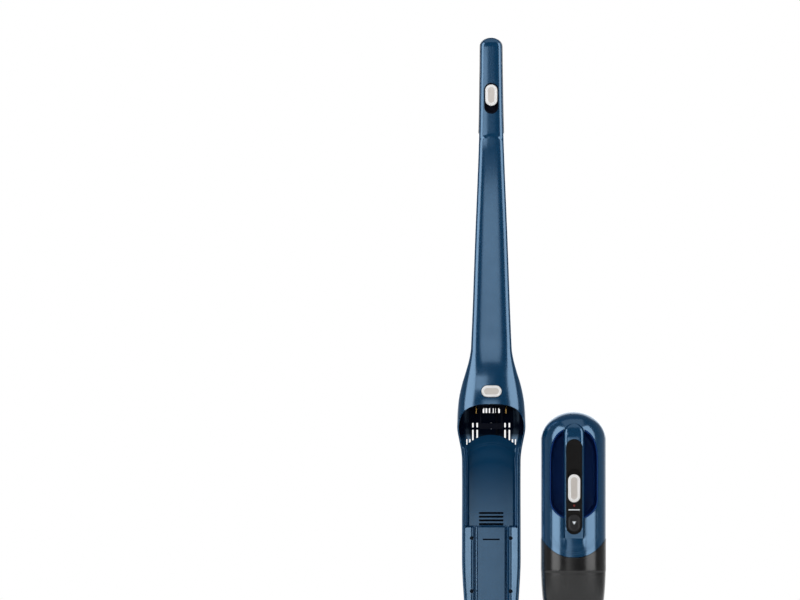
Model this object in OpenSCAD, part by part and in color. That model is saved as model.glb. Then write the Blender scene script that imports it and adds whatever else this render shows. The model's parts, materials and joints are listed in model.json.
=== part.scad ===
// Two-in-one cordless stick vacuum: a self-standing stick with a motorised floor head,
// and the handheld unit that clips into its cradle, shown lifted out to the right.
// +X is right, +Y is back, +Z is up. The origin is on the floor under the stick.

/* [Handheld] */
// Width of the handheld unit
hh_w = 103; // [90:1:115]
// Depth of the handheld unit from its back to its handle
hh_d = 101; // [92:1:110]
// Height of the rounded dome
dome_h = 44; // [36:1:52]
// Length of the dust bin from its mouth to its side rims
bin_len = 199; // [180:1:215]
// How far the casing dips over the bin at the front
bin_dip = 29; // [15:1:35]
// Width of the suction mouth
mouth_w = 66; // [50:1:76]
// Height of the casing between the bin's rims and the finger recess
band_h = 30; // [26:1:40]
// Width of the finger recess
well_w = 77; // [70:1:84]
// Height of the finger recess
well_h = 146; // [120:2:160]
// Finger space behind the handle bridge
finger_gap = 30; // [25:1:36]
// Width of the handle bridge
bridge_w = 32; // [26:1:38]
// Width of the soft insert on the bridge
insert_w = 25.6; // [22:0.2:28]

/* [Stick] */
// Length of the handle from the cradle arch to its top
handle_len = 586; // [480:2:640]
// Length of the soft grip at the top of the handle
grip_len = 154; // [120:2:180]
// Width of the handle just above the shoulder
handle_low_w = 65.6; // [52:0.2:76]
// Width of the handle at the lower end of the grip
handle_high_w = 39.2; // [34:0.2:44]
// Width of the grip near its top
grip_w = 34.6; // [30:0.2:38]
// How far the grip leans back at its top
grip_lean = 26; // [10:1:40]
// Wall of all casings
wall_t = 2.4; // [1.8:0.2:3]
// Depth of the cradle tray behind its rim
tray_d = 12; // [10:1:14]
// Width of one vent slot
slot_w = 2.6; // [1.6:0.2:3.2]

/* [Floor head] */
// Width of the floor head
head_w = 252; // [220:2:290]
// Depth of the floor head
head_d = 128; // [120:2:140]
// Height of the floor head
head_h = 58; // [54:1:64]
// Radius of the brush roll's core
roll_r = 15; // [12:0.5:16]
// Length of the bristles beyond the core
bristle_len = 7; // [4:0.5:8]
// Radius of the rear wheels
wheel_r = 15; // [12:0.5:17]
// Height of the tilting neck above its pivot
neck_len = 68; // [60:1:80]
// Outer radius of the neck tube
neck_r = 19; // [16:0.5:21]
// Radius of the tilt pivot pins
pivot_r = 4; // [3:0.5:5]

/* [Controls] */
// Width of the slide switch on the handle
switch_w = 20; // [16:1:22]
// Length of the slide switch on the handle
switch_len = 35; // [28:1:40]
// Travel of both slide switches
switch_travel = 8; // [5:1:10]
// Width of the release button
release_w = 32; // [26:1:36]
// Height of the release button
release_h = 18.6; // [14:0.2:22]
// Travel of the push buttons
push_travel = 3; // [2:0.5:4]
// Width of the power switch on the handheld unit
power_w = 19.4; // [16:0.2:20]
// Length of the power switch on the handheld unit
power_len = 44.6; // [36:0.2:50]

/* [Fits] */
// Gap between casings that meet
seam = 0.3; // [0.2:0.05:0.5]
// Radial clearance of turning parts
run = 0.08; // [0.05:0.05:0.15]
// Gap round buttons and switches
button_gap = 0.5; // [0.3:0.1:0.8]
// How far the ejector pushes the handheld unit out of the cradle
eject = 14; // [14:1:18]
// How far aside the handheld unit stands when it is lifted out
aside = 130; // [125:1:180]

/* [Hidden] */
$fn = 48;
arc_steps = 16;

blue = [0.05, 0.20, 0.36];
navy = [0.01, 0.07, 0.20];
black = [0.05, 0.05, 0.05];
silver = [0.85, 0.85, 0.84];
steel = [0.7, 0.7, 0.72];
smoke = [0.25, 0.25, 0.26, 0.5];

// Levels, from the floor up
pivot_y = 4;
pivot_z = 34;
swivel_z = pivot_z + neck_len;
mouth_z = swivel_z + 50;
bin_z = mouth_z + bin_len;
dome_low = bin_z + band_h + well_h - 19;
dome_z = dome_low + dome_h;
arch_z = dome_z + 12.4;
top_z = arch_z + handle_len;
grip_z = top_z - grip_len;
neck_low_z = arch_z + 89;

// Depths: the plane where front and back casings meet, the rim, the tray floor
rim_y = -8;
split_y = rim_y;
hh_back = rim_y + tray_d;
hh_front = hh_back - hh_d;
hh_mid = (hh_back + hh_front)/2;
back_d = tray_d + 13.6 + wall_t;
back_inner_y = split_y + back_d - wall_t;
duct_y = rim_y - 3;
tray_y = hh_back + 1.5;

// Curve through points [z, value] with smooth slopes
function tangent(p, i) = i == 0 ? (p[1][1] - p[0][1])/(p[1][0] - p[0][0])
    : i == len(p) - 1 ? (p[i][1] - p[i-1][1])/(p[i][0] - p[i-1][0])
    : (p[i+1][1] - p[i-1][1])/(p[i+1][0] - p[i-1][0]);
function hermite(a, b, ma, mb, h, t) = (2*t^3 - 3*t^2 + 1)*a + (t^3 - 2*t^2 + t)*h*ma
    + (3*t^2 - 2*t^3)*b + (t^3 - t^2)*h*mb;
function curve(p, z, i = 0) = i < len(p) - 2 && z > p[i+1][0] ? curve(p, z, i + 1)
    : let (h = p[i+1][0] - p[i][0], t = min(max((z - p[i][0])/h, 0), 1))
      hermite(p[i][1], p[i+1][1], tangent(p, i), tangent(p, i + 1), h, t);
// Point of a superellipse at angle t
function sup(a, b, n, t) = [a*sign(cos(t))*pow(abs(cos(t)), 2/n), b*sign(sin(t))*pow(abs(sin(t)), 2/n)];
function half_ring(z, a, b, n, y, back = 0) = [for (i = [0:arc_steps])
    let (p = sup(a, b, n, 180*(1 - back) + 180*i/arc_steps)) [p[0], y + p[1], z]];
function full_ring(z, a, b, n, y, k = 32) = [for (i = [0:k-1])
    let (p = sup(a, b, n, 360*i/k)) [p[0], y + p[1], z]];

// Closed wall between two stacks of arcs that run the same way
module arc_wall(outer, inner) {
    n = len(outer[0]);
    m = len(outer);
    k = m*n;
    skin = [for (j = [0:m-2], i = [0:n-2]) let (a = j*n + i) each [[a, a+n, a+1], [a+1, a+n, a+n+1]]];
    lining = [for (j = [0:m-2], i = [0:n-2]) let (a = k + j*n + i)
        each [[a, a+1, a+n], [a+1, a+n+1, a+n]]];
    low = [for (i = [0:n-2]) each [[i, i+1, k+i], [i+1, k+i+1, k+i]]];
    high = [for (i = [0:n-2]) let (a = (m-1)*n + i) each [[a, k+a, a+1], [a+1, k+a, k+a+1]]];
    first = [for (j = [0:m-2]) let (a = j*n) each [[a, k+a, a+n], [a+n, k+a, k+a+n]]];
    last = [for (j = [0:m-2]) let (a = j*n + n - 1) each [[a, a+n, k+a], [a+n, k+a+n, k+a]]];
    polyhedron(concat([for (r = outer) each r], [for (r = inner) each r]),
        concat(skin, lining, low, high, first, last));
}

// Flat shape drawn in X and Z, thick from y0 to y1
module slab(y0, y1) translate([0, y1, 0]) rotate([90, 0, 0]) linear_extrude(y1 - y0) children();
module pill(w, h) {
    r = min(w, h)/2;
    if (w > h) square([w - h, h], center = true);
    if (h > w) square([w, h - w], center = true);
    for (e = [-1, 1]) translate([e*(w/2 - r), e*(h/2 - r)]) circle(r);
}
module oval(w, h, n = 2, k = 40) polygon([for (i = [0:k-1]) sup(w/2, h/2, n, 360*i/k)]);
module along_x(r, x0, x1) translate([x0, 0, 0]) rotate([0, 90, 0]) cylinder(r = r, h = x1 - x0);

// Solid through a stack of convex rings
module stack(rings) {
    n = len(rings[0]);
    m = len(rings);
    side = [for (j = [0:m-2], i = [0:n-1]) let (a = j*n + i, b = j*n + (i+1)%n)
        each [[a, a+n, b], [b, a+n, b+n]]];
    floor_cap = [for (i = [1:n-2]) [0, i, i+1]];
    roof_cap = [for (i = [1:n-2]) let (a = (m-1)*n) [a, a+i+1, a+i]];
    polyhedron([for (r = rings) each r], concat(side, floor_cap, roof_cap));
}

// ---- Stick sections -------------------------------------------------------
cr = hh_w/2 - 4.6;
sh = hh_w/2 + 3.1;
hw_low = handle_low_w/2;
hw_high = handle_high_w/2;
stick_w_pts = [[swivel_z + 10, neck_r + 6], [mouth_z - 8, cr - 13.4], [mouth_z + 40, cr - 7.4],
    [mouth_z + 106, cr - 2.6], [mouth_z + 150, cr - 0.2], [mouth_z + 190, cr], [dome_low - 34, cr],
    [dome_low - 17, cr + 1.6], [dome_low - 2, sh - 3.2], [dome_low + 14, sh - 0.3],
    [dome_low + 30, sh], [arch_z - 2, sh - 1.2], [arch_z + 12, sh - 3.1], [arch_z + 32, sh - 7.7],
    [arch_z + 51, hw_low + 8.2], [arch_z + 70, hw_low + 3], [neck_low_z, hw_low],
    [(neck_low_z + grip_z)/2, (hw_low + hw_high)/2], [grip_z, hw_high], [grip_z + 94, grip_w/2 + 0.5],
    [top_z - 14, grip_w/2]];
front_pts = [[swivel_z + 10, 18], [mouth_z - 8, 22], [mouth_z + 40, 24], [dome_low, 33],
    [arch_z - 2, 32], [arch_z + 20, 28], [arch_z + 45, 20.5], [arch_z + 70, 15.5],
    [neck_low_z + 20, 12.6], [(neck_low_z + grip_z)/2, 11.4], [grip_z, 10.5], [top_z - 14, 10.2]];
back_pts = [[swivel_z + 10, back_d + 2], [mouth_z, back_d + 0.5], [mouth_z + 40, back_d],
    [arch_z, back_d], [neck_low_z, back_d - 0.5], [grip_z, 26], [top_z - 14, 24.5]];
lean_rate = (grip_lean - 4)/(top_z - grip_z + 30);
lean_pts = [[swivel_z, 0], [grip_z - 143, 0], [grip_z - 30, 4], [grip_z + 20, 4 + 50*lean_rate],
    [top_z, grip_lean]];
lean_angle = atan(lean_rate);
cap_h = 14;
function top_cap(z) = z > top_z - cap_h ? sqrt(max(1 - pow((z - top_z + cap_h)/cap_h, 2), 0.0004)) : 1;
function stick_w(z) = curve(stick_w_pts, z)*top_cap(z);
function stick_f(z) = curve(front_pts, z)*top_cap(z);
function stick_b(z) = curve(back_pts, z)*top_cap(z);
function lean(z) = curve(lean_pts, z);
function under(z) = z > top_z - cap_h ? top_z - cap_h + (z - top_z + cap_h)*(cap_h - wall_t)/cap_h : z;
function thin(v, t) = max(v - t, 0.3);
function stick_front(z, t = 0, n = 2.6) = half_ring(t > 0 ? under(z) : z, thin(stick_w(z), t),
    thin(stick_f(z), t), n, split_y + lean(z));
function stick_back(z, t = 0, n = 3) = half_ring(t > 0 ? under(z) : z, thin(stick_w(z), t),
    thin(stick_b(z), t), n, split_y + lean(z), 1);
top_levels = [for (a = [0, 20, 38, 54, 68, 80, 90]) top_z - cap_h + cap_h*sin(a)];
shoulder_levels = [for (d = [-2, 10, 22, 34, 46, 58, 70, 80]) arch_z + d];
handle_levels = concat([neck_low_z, neck_low_z + 30], [for (i = [1:3]) neck_low_z + 30
    + (grip_z - 143 - neck_low_z - 30)*i/3], [for (i = [1:5]) grip_z - 143 + 143*i/5]);
grip_levels = [for (d = [20, 50, 94]) grip_z + d];
front_levels = concat([dome_low + 8, dome_low + 22, dome_low + 38], shoulder_levels, handle_levels,
    grip_levels, top_levels);
back_levels = concat([swivel_z + 10, swivel_z + 24, mouth_z - 8, mouth_z + 16, mouth_z + 40,
    mouth_z + 73, mouth_z + 106, mouth_z + 150, mouth_z + 190, dome_low - 34, dome_low - 17,
    dome_low - 2, dome_low + 14, dome_low + 30], shoulder_levels, handle_levels);

// ---- Handheld sections (where it sits in the cradle) ----------------------
casing_n = 2.4;
hand_w_pts = [[mouth_z, mouth_w/2], [mouth_z + 30, hh_w/2 - 14], [mouth_z + 63, hh_w/2 - 8],
    [mouth_z + 106, hh_w/2 - 2.3], [mouth_z + 140, hh_w/2 - 0.2], [mouth_z + 165, hh_w/2],
    [dome_low, hh_w/2]];
hand_front_pts = [[mouth_z, rim_y - 19], [mouth_z + 30, rim_y - 40], [mouth_z + 58, hh_front + 29],
    [mouth_z + 98, hh_front + 9.5], [mouth_z + 140, hh_front + 1], [mouth_z + 165, hh_front],
    [dome_low, hh_front]];
function dome(z) = z > dome_low ? sqrt(max(1 - pow((z - dome_low)/dome_h, 2), 0.0004)) : 1;
function hand_w(z) = curve(hand_w_pts, z)*dome(z);
function hand_d(z) = (hh_back - curve(hand_front_pts, z))/2*dome(z);
function hand_y(z) = (hh_back + curve(hand_front_pts, z))/2;
function face_y(z) = hand_y(z) - hand_d(z);
function below(z, t) = z > dome_low ? dome_low + (z - dome_low)*(dome_h - t)/dome_h : z;
function hand_ring(z, t = 0, k = 32) = full_ring(below(z, t), thin(hand_w(z), t), thin(hand_d(z), t),
    casing_n, hand_y(z), k);
function hand_half(z, t, back) = half_ring(below(z, t), thin(hand_w(z), t), thin(hand_d(z), t),
    casing_n, hand_y(z), back);
dome_levels = [for (a = [9, 19, 29, 39, 49, 59, 69, 79, 90]) dome_low + dome_h*sin(a)];
casing_levels = concat([bin_z - bin_dip - 2, bin_z + 10, bin_z + 60, dome_low - 50, dome_low], dome_levels);
bin_levels = concat([for (d = [0, 10, 20, 30, 44, 58, 78, 98, 119, 140, 165]) mouth_z + d], [bin_z]);
well_z = bin_z + band_h + well_h/2;
bridge_low = bin_z + 1;
insert_len = well_h + 5;
bridge_top = dome_low + 26;
insert_z = well_z - 20;
power_z = insert_z - 2.5;
button_z = insert_z - insert_len/2 + 18;
lamp_z = power_z - power_len/2 - 5;
button_w = insert_w - 5.6;
button_h = 27;
bridge_proud = [[bridge_low, 0.6], [bridge_low + 6, 3], [dome_low - 8, 3], [bridge_top, 0.2]];
function bridge_y(z) = face_y(z) - lookup(z, bridge_proud);
bridge_levels = concat([bridge_low, bridge_low + 6],
    [for (i = [1:3]) bridge_low + 6 + (dome_low - 14 - bridge_low)*i/3],
    [dome_low, dome_low + 7, dome_low + 14, dome_low + 20, bridge_top]);
bridge_back = hh_mid - finger_gap;
fan_y = hh_back - 26;
// The seam between casing and bin dips at the front and back
function dip(x) = bin_z - bin_dip + bin_dip*pow(abs(x)/(hh_w/2), 2.4);
module below_dip(shift = 0) polygon(concat([[-hh_w, mouth_z - 60], [hh_w, mouth_z - 60],
    [hh_w, bin_z + shift], [hh_w/2 + 0.5, bin_z + shift]],
    [for (i = [12:-1:-12]) [hh_w/24*i, dip(hh_w/24*i) + shift]],
    [[-hh_w/2 - 0.5, bin_z + shift], [-hh_w, bin_z + shift]]));
// The slanted plane where the mouth meets the duct, shifted up by d
module slant(d) translate([0, rim_y + 8, mouth_z + 26 + d]) rotate([45, 0, 0])
    translate([-90, -90, 0]) children();
module beyond_slant(d) slant(d) translate([0, 0, -120]) cube([180, 180, 120]);
module above_slant(d) slant(d) cube([180, 180, 90]);
module lifted_out() translate([aside, -eject, 0]) children();

// ---- Floor head -----------------------------------------------------------
head_y = -20;
roll_y = head_y - head_d/2 + 30;
roll_z = 25;
belt_x = -head_w/2 + 15.4;
roll_len = head_w - 62;
motor_y = roll_y + 41;
motor_z = 30;
wheel_y = 24;
slot_x = neck_r + 5.6;
barrel_r = neck_r + 1;
shell_low = 5.8;
function head_ring(z, inset) = full_ring(z, head_w/2 - inset, head_d/2 - inset*0.8, 5, head_y,
    2*arc_steps);
shell_rings = [[shell_low, 0], [30, 0], [40, 1.5], [47, 5], [head_h - 5.5, 12], [head_h - 2, 24],
    [head_h, 42]];
function lining_z(z) = z == shell_low ? shell_low - 1 : z - wall_t*(z > 35 ? 1 : 0.6);

module head_top_shell() color(blue) difference() {
    stack([for (r = shell_rings) head_ring(r[0], r[1])]);
    stack([for (r = shell_rings) head_ring(lining_z(r[0]), r[1] + (r[0] > 50 ? 1.2 : 1)*wall_t)]);
    translate([-slot_x, -neck_r - 2, shell_low - 1]) cube([2*slot_x, head_d, head_h]);
    translate([0, roll_y, roll_z]) along_x(11.6, head_w/2 - 12, head_w/2 + 2);
}
module head_base() color(black) difference() {
    union() {
        translate([0, 0, 3]) linear_extrude(2.5) translate([0, head_y])
            oval(head_w - 2*wall_t - 0.8, head_d - 2*wall_t - 0.8, 5, 40);
        // rear wall and end walls of the brush chamber
        translate([-roll_len/2 - 4, roll_y + 24.5, 5]) cube([roll_len + 8, 2.2, 37]);
        for (x = [-roll_len/2 - 4, roll_len/2 + 1.6]) translate([x, roll_y - 18, 5]) cube([2.4, 44, 33]);
        // cheeks that hold the pivot and the wheels
        for (s = [-1, 1]) {
            translate([s*(slot_x + 2.2) - 2, roll_y + 26, 5]) cube([4, wheel_y - 16 - roll_y, 39]);
            translate([s*(slot_x + 24.5) - 1.5, wheel_y - 8, 5]) cube([3, 16, 16]);
        }
        // trough under the barrel and roof of the channel
        translate([-slot_x - 1, -22, 5]) cube([2*slot_x + 2, 46, 12]);
        translate([-slot_x - 1, roll_y + 26, 33.4]) cube([2*slot_x + 2, -neck_r - roll_y - 26, 2]);
        // motor saddles
        for (x = [-52, -84]) translate([x - 2, motor_y - 12, 5]) cube([4, 24, motor_z - 5]);
    }
    // suction mouth and channel
    translate([-roll_len/2 - 1.4, roll_y - 20.4, 0]) cube([roll_len + 2.8, 41.4, 10]);
    translate([-slot_x + 2, roll_y + 20, 13]) cube([2*slot_x - 4, 10, 20]);
    translate([-slot_x + 2, roll_y + 20, 12]) cube([2*slot_x - 4, 26, 6]);
    translate([0, pivot_y, pivot_z]) along_x(barrel_r + 0.5, -slot_x - 0.1, slot_x + 0.1);
    translate([0, pivot_y, pivot_z]) along_x(pivot_r + 0.03, -40, 40);
    for (s = [-1, 1]) translate([s*(slot_x + 15) - 8, wheel_y - wheel_r - 2, 0])
        cube([16, 2*wheel_r + 4, 12]);
    translate([0, wheel_y, wheel_r]) along_x(2.53, -60, 60);
    translate([0, roll_y, roll_z]) along_x(6.05, -roll_len/2 - 6, -roll_len/2);
    translate([0, roll_y, roll_z]) along_x(9.2, roll_len/2, roll_len/2 + 6);
    translate([0, motor_y, motor_z]) along_x(13.05, -90, -45);
}
module head_bumper() color(black) difference() {
    levels = [[12, 0], [13.5, 1.6], [18.5, 1.6], [20, 0]];
    arc_wall([for (l = levels) half_ring(l[0], head_w/2 + 0.5 + l[1], head_d/2 + 0.5 + l[1], 5, head_y)],
        [for (l = levels) half_ring(l[0], head_w/2 + 0.2, head_d/2 + 0.2, 5, head_y)]);
    translate([0, roll_y, roll_z]) along_x(11.6, 0, head_w);
}
module head_skids() color(black) {
    for (s = [-1, 1]) translate([s*(head_w/2 - 16) - 5, roll_y - 14, 0]) cube([10, 34, 2.9]);
    translate([-14, -9, 0]) cube([28, 18, 2.9]);
}
module head_screws() color(steel) for (s = [-1, 1], y = [head_y + 6, head_y + 44])
    translate([s*(head_w/2 - 30), y, 0]) {
        translate([0, 0, 1.4]) cylinder(r = 3, h = 1.5);
        translate([0, 0, 5.6]) cylinder(r = 1.4, h = 8);
    }
module pivot_pins() color(steel) for (s = [-1, 1]) translate([0, pivot_y, pivot_z]) {
    along_x(pivot_r, s > 0 ? slot_x - 5 : -slot_x - 4.2, s > 0 ? slot_x + 4.2 : -slot_x + 5);
    along_x(pivot_r + 2, s > 0 ? slot_x + 4.3 : -slot_x - 6.3, s > 0 ? slot_x + 6.3 : -slot_x - 4.3);
}
module brush_core() color(black) translate([0, roll_y, roll_z]) {
    along_x(roll_r, -roll_len/2 + 1, roll_len/2 - 1);
    along_x(4, -head_w/2 + 9, roll_len/2 + 5);
}
module brush_bristles() color(navy) translate([-roll_len/2 + 4, roll_y, roll_z]) rotate([90, 0, 90])
    for (a = [0, 180]) rotate(a) linear_extrude(height = roll_len - 8, twist = 400, slices = 40,
        segments = 12) translate([roll_r + 0.1, -1.3]) square([bristle_len - 0.1, 2.6]);
module brush_pulley() color(black) translate([0, roll_y, roll_z]) difference() {
    union() {
        along_x(9.6, belt_x - 4.4, belt_x + 4.4);
        along_x(11, belt_x - 5.6, belt_x - 4.4);
        along_x(11, belt_x + 4.4, belt_x + 5.6);
    }
    along_x(4.02, belt_x - 7, belt_x + 7);
}
module brush_bushes() color(steel) translate([0, roll_y, roll_z]) {
    difference() {
        along_x(6, -roll_len/2 - 5, -roll_len/2 - 0.6);
        along_x(4 + run, -roll_len/2 - 6, -roll_len/2);
    }
}
module brush_lock() color(silver) translate([0, roll_y, roll_z]) difference() {
    union() {
        along_x(9.1, roll_len/2 + 0.6, roll_len/2 + 7);
        along_x(6, roll_len/2 + 6, head_w/2 - 6);
        along_x(11, head_w/2 - 7, head_w/2 + 0.6);
    }
    along_x(4 + run, roll_len/2, roll_len/2 + 5.5);
    translate([head_w/2 - 1, -8, -1.2]) cube([3, 16, 2.4]);
}
module drive_motor() color(steel) translate([0, motor_y, motor_z]) {
    along_x(13, -96, -44);
    along_x(5, -98, -95);
}
module motor_pinion() color(black) translate([0, motor_y, motor_z]) {
    along_x(4.6, belt_x - 4.4, belt_x + 4.4);
    along_x(1.5, belt_x + 4, -98.2);
}
module drive_belt() color(black) translate([belt_x - 3.8, 0, 0]) rotate([90, 0, 90])
    linear_extrude(7.6) difference() {
        hull() {
            translate([roll_y, roll_z]) circle(11);
            translate([motor_y, motor_z]) circle(6);
        }
        hull() {
            translate([roll_y, roll_z]) circle(9.65);
            translate([motor_y, motor_z]) circle(4.65);
        }
    }
module wheel_axles() color(steel) for (s = [-1, 1]) translate([0, wheel_y, wheel_r])
    along_x(2.5, s > 0 ? slot_x + 0.4 : -slot_x - 27, s > 0 ? slot_x + 27 : -slot_x - 0.4);
module wheel(s) color(black) translate([s*(slot_x + 14), wheel_y, wheel_r]) difference() {
    union() {
        along_x(wheel_r, -4.5, 4.5);
        along_x(6, -6.5, 6.5);
    }
    along_x(2.5 + run, -7, 7);
}
module wheel_left() wheel(-1);
module wheel_right() wheel(1);

// ---- Neck -----------------------------------------------------------------
module neck_knuckle() color(black) difference() {
    union() {
        translate([0, pivot_y, pivot_z]) along_x(barrel_r, -slot_x + 0.5, slot_x - 0.5);
        translate([0, 0, pivot_z]) cylinder(r = neck_r, h = neck_len);
        translate([0, 0, pivot_z]) cylinder(r = neck_r - 2, h = neck_len + 7);
        translate([0, 0, swivel_z + 4.4]) cylinder(r = neck_r + 1, h = 2.6);
    }
    translate([0, pivot_y, pivot_z]) along_x(barrel_r - 3.5, -slot_x + 4.5, slot_x - 4.5);
    translate([0, 0, pivot_z]) cylinder(r = neck_r - 4.5, h = neck_len + 10);
    translate([-14, pivot_y - 30, pivot_z - 21]) cube([28, 40, 20]);
    translate([0, pivot_y, pivot_z]) along_x(pivot_r + run, -slot_x - 1, slot_x + 1);
}
module neck_ring() color(black) translate([0, 0, swivel_z + 0.3]) difference() {
    cylinder(r = neck_r + 5, h = 9.4);
    translate([0, 0, -1]) cylinder(r = neck_r - 2 + run, h = 12);
    translate([0, 0, 4]) cylinder(r = neck_r + 1 + run, h = 12);
}

// ---- Stick ----------------------------------------------------------------
loom_x = 9;
duct_levels = [swivel_z + 10, swivel_z + 24, mouth_z - 8, mouth_z + 16, mouth_z + 32];
module duct_bore(g = 0) stack([for (l = [[-30, 0], [6, 0], [40, 1], [100, 1]])
    full_ring(swivel_z + 10 + l[0], (l[1] ? mouth_w/2 - 5 : neck_r - 4.5) + g,
        (l[1] ? 12.5 : neck_r - 4.5) + g, 2, l[1] ? duct_y : 0, 32)]);
module lower_duct() color(black) difference() {
    union() {
        stack([for (z = duct_levels) stick_front(z)]);
        stack([for (z = duct_levels) stick_back(z, wall_t + 0.3)]);
    }
    duct_bore();
    above_slant(-3.2);
    translate([loom_x - 2.5, hh_back + 8.8, swivel_z]) cube([5, 20, 200]);
}
module duct_gasket() color(black) translate([0, duct_y, mouth_z + 22.9 + duct_y])
    rotate([45, 0, 0]) linear_extrude(1.8) difference() {
        oval(mouth_w - 4, 42, 2.2, 40);
        oval(mouth_w - 9, 36, 2.2, 40);
    }
module vent(x, z, h) translate([x - slot_w/2, 0, z]) cube([slot_w, 40, h]);
module tray_vents() for (i = [0:3]) translate([-vent_w/2, 0, vent_z + vent_pitch*i]) cube([vent_w, 40, 3.2]);
module cradle_back_shell() color(blue) difference() {
    arc_wall([for (z = back_levels) stick_back(z)], [for (z = back_levels) stick_back(z, wall_t)]);
    // see-through vents behind the dock
    for (x = [-12.2, -7.6, -2.4, 2.8, 8, 12.8]) vent(x, arch_z - 15.4, 7.5);
    for (s = [-1, 1]) {
        for (x = [22.5, 29.5], v = [[18, 7], [-3, 17]]) vent(s*x, dome_low + v[0], v[1]);
        for (x = [34.5, 39.5]) vent(s*x, dome_low - 15, 14);
    }
    translate([0, 30, charge_z]) rotate([90, 0, 0]) cylinder(r = 5.1, h = 30);
}
charge_z = arch_z + 40;
tray_low = mouth_z + 42;
tray_top = dome_low + 6;
// raised lower panel of the tray, the vents just above it, and the tray's screws
panel_top = dome_low - 141;
vent_w = 39;
vent_z = panel_top + 2.6;
vent_pitch = 5.9;
tray_screw_x = cr - 15.9;
tray_screw_z = [panel_top - 18, panel_top - 103];
// Inner face of the back shell at a place across it
function shell_y(x, z) = split_y + (stick_b(z) - wall_t)*pow(1 - pow(x/(stick_w(z) - wall_t), 3), 1/3);
function tray_edge(x, d) = tray_top - d - 24*pow(abs(x)/cr, 2.2);
module tray_outline(d) polygon(concat([[cr - 2, tray_low], [cr - 2, tray_low + 5]],
    [for (i = [10:-1:-10]) [i/10*(cr - wall_t - 0.3), tray_edge(i/10*(cr - wall_t - 0.3), d)]],
    [[-cr + 2, tray_low]]));
module cradle_tray() color(blue) difference() {
    union() {
        intersection() {
            stack([for (z = [for (l = back_levels) if (l > tray_low - 30 && l < dome_low + 20) l])
                stick_back(z, wall_t + 0.3)]);
            union() {
                slab(tray_y + 3.5, tray_y + 5.9) tray_outline(14);
                slab(tray_y + 5.5, tray_y + 7.9) tray_outline(0);
                for (s = [-1, 1]) translate([s*(cr - 12.4) - 7.5, tray_y - 3, tray_low])
                    cube([15, 7, panel_top - tray_low]);
            }
        }
        translate([-22.5, tray_y, tray_low]) cube([45, 4, panel_top - tray_low]);
    }
    tray_vents();
    translate([-13.5, tray_y - 1, panel_top - 21.4]) cube([27, 2.5, 2.4]);
    for (s = [-1, 1], z = tray_screw_z) translate([s*tray_screw_x, 20, z]) rotate([90, 0, 0]) {
        cylinder(r = 1.6, h = 30);
        translate([0, 0, 15]) cylinder(r = 3.3, h = 20);
    }
}
module tray_screws() color(steel) for (s = [-1, 1], z = tray_screw_z)
    translate([s*tray_screw_x, tray_y - 0.7, z]) rotate([90, 0, 0]) difference() {
        shank = shell_y(tray_screw_x + 1.5, z) - tray_y - 0.2;
        union() {
            cylinder(r = 3.2, h = 2);
            translate([0, 0, -shank]) cylinder(r = 1.5, h = shank + 1);
        }
        translate([-0.5, -2.4, 1.2]) cube([1, 4.8, 2]);
        translate([-2.4, -0.5, 1.2]) cube([4.8, 1, 2]);
    }
rail_x = 17;
rail_z = arch_z - 7.4;
contact_x = 24;
contact_y = 10;
contact_r = 1.6;
module dock_roof() color(navy) difference() {
    union() {
        intersection() {
            union() {
                stack([for (z = [arch_z - 6, arch_z + 4]) stick_front(z, wall_t + 0.6)]);
                stack([for (z = [arch_z - 6, arch_z + 4]) stick_back(z, wall_t + 0.6)]);
            }
            translate([-60, -60, arch_z - 3.2]) cube([120, 100, 2.4]);
        }
        for (s = [-1, 1]) translate([s*rail_x - 4.2, -22, rail_z - 1.5]) cube([8.4, 37.6, 6]);
    }
    for (s = [-1, 1]) {
        translate([s*rail_x - 2.6, -30, rail_z - 0.3]) cube([5.2, 60, 3.6]);
        translate([s*rail_x - 1.3, -30, rail_z - 5]) cube([2.6, 60, 5]);
    }
    translate([-5, -40, arch_z - 10]) cube([10, 34, 20]);
    for (s = [-1, 1]) translate([s*contact_x, contact_y, arch_z - 10]) cylinder(r = contact_r + 0.05, h = 20);
    translate([loom_x - 2.5, hh_back + 8.8, arch_z - 10]) cube([5, 9, 20]);
}
module contact_pins() color("goldenrod") for (s = [-1, 1])
    translate([s*contact_x, contact_y, arch_z - 16]) cylinder(r = contact_r, h = 18);
module handle_front_shell() color(blue) difference() {
    arc_wall([for (z = front_levels) stick_front(z)], [for (z = front_levels) stick_front(z, wall_t)]);
    // the arch over the dock
    translate([0, split_y + 0.01, dome_low + 14]) rotate([atan((arch_z - dome_low - 14)/-32), 0, 0])
        translate([-80, -80, -60]) cube([160, 120, 60]);
    slab(-60, -8) translate([0, release_z]) pill(release_w + 2*button_gap, release_h + 2*button_gap);
    on_grip() slab(-30, -8) translate([0, -5]) pill(switch_w + 3, switch_len + 15);
}
release_z = arch_z + 20;
switch_z = top_z - 95;
module on_grip() translate([0, lean(switch_z), switch_z]) rotate([-lean_angle, 0, 0]) children();
function grip_arc(z, w, b) = half_ring(z, w, b, 2.8, split_y + 0.1 + lean(z), 1);
module grip_back() color(black) {
    levels = concat([grip_z + 0.3], grip_levels, top_levels);
    proud = 0.9;
    arc_wall([for (z = levels) grip_arc(z, stick_w(z) + proud*top_cap(z), stick_b(z))],
        [for (z = levels) half_ring(under(z), thin(stick_w(z) + proud, wall_t), thin(stick_b(z), wall_t), 2.8,
            split_y + 0.1 + lean(z), 1)]);
}
grip_face = split_y - 10.3;
module switch_recess() color(black) on_grip() difference() {
    slab(grip_face - 0.6, grip_face + 7) translate([0, -5]) pill(switch_w + 2.4, switch_len + 14.4);
    slab(grip_face - 2, grip_face + 4.4) translate([0, -5]) pill(switch_w + 2*button_gap, switch_len + 9.6);
    slab(grip_face + 2.4, grip_face + 4.6) translate([0, -5]) pill(switch_w + 2*button_gap, switch_len + 9.6);
}
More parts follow.
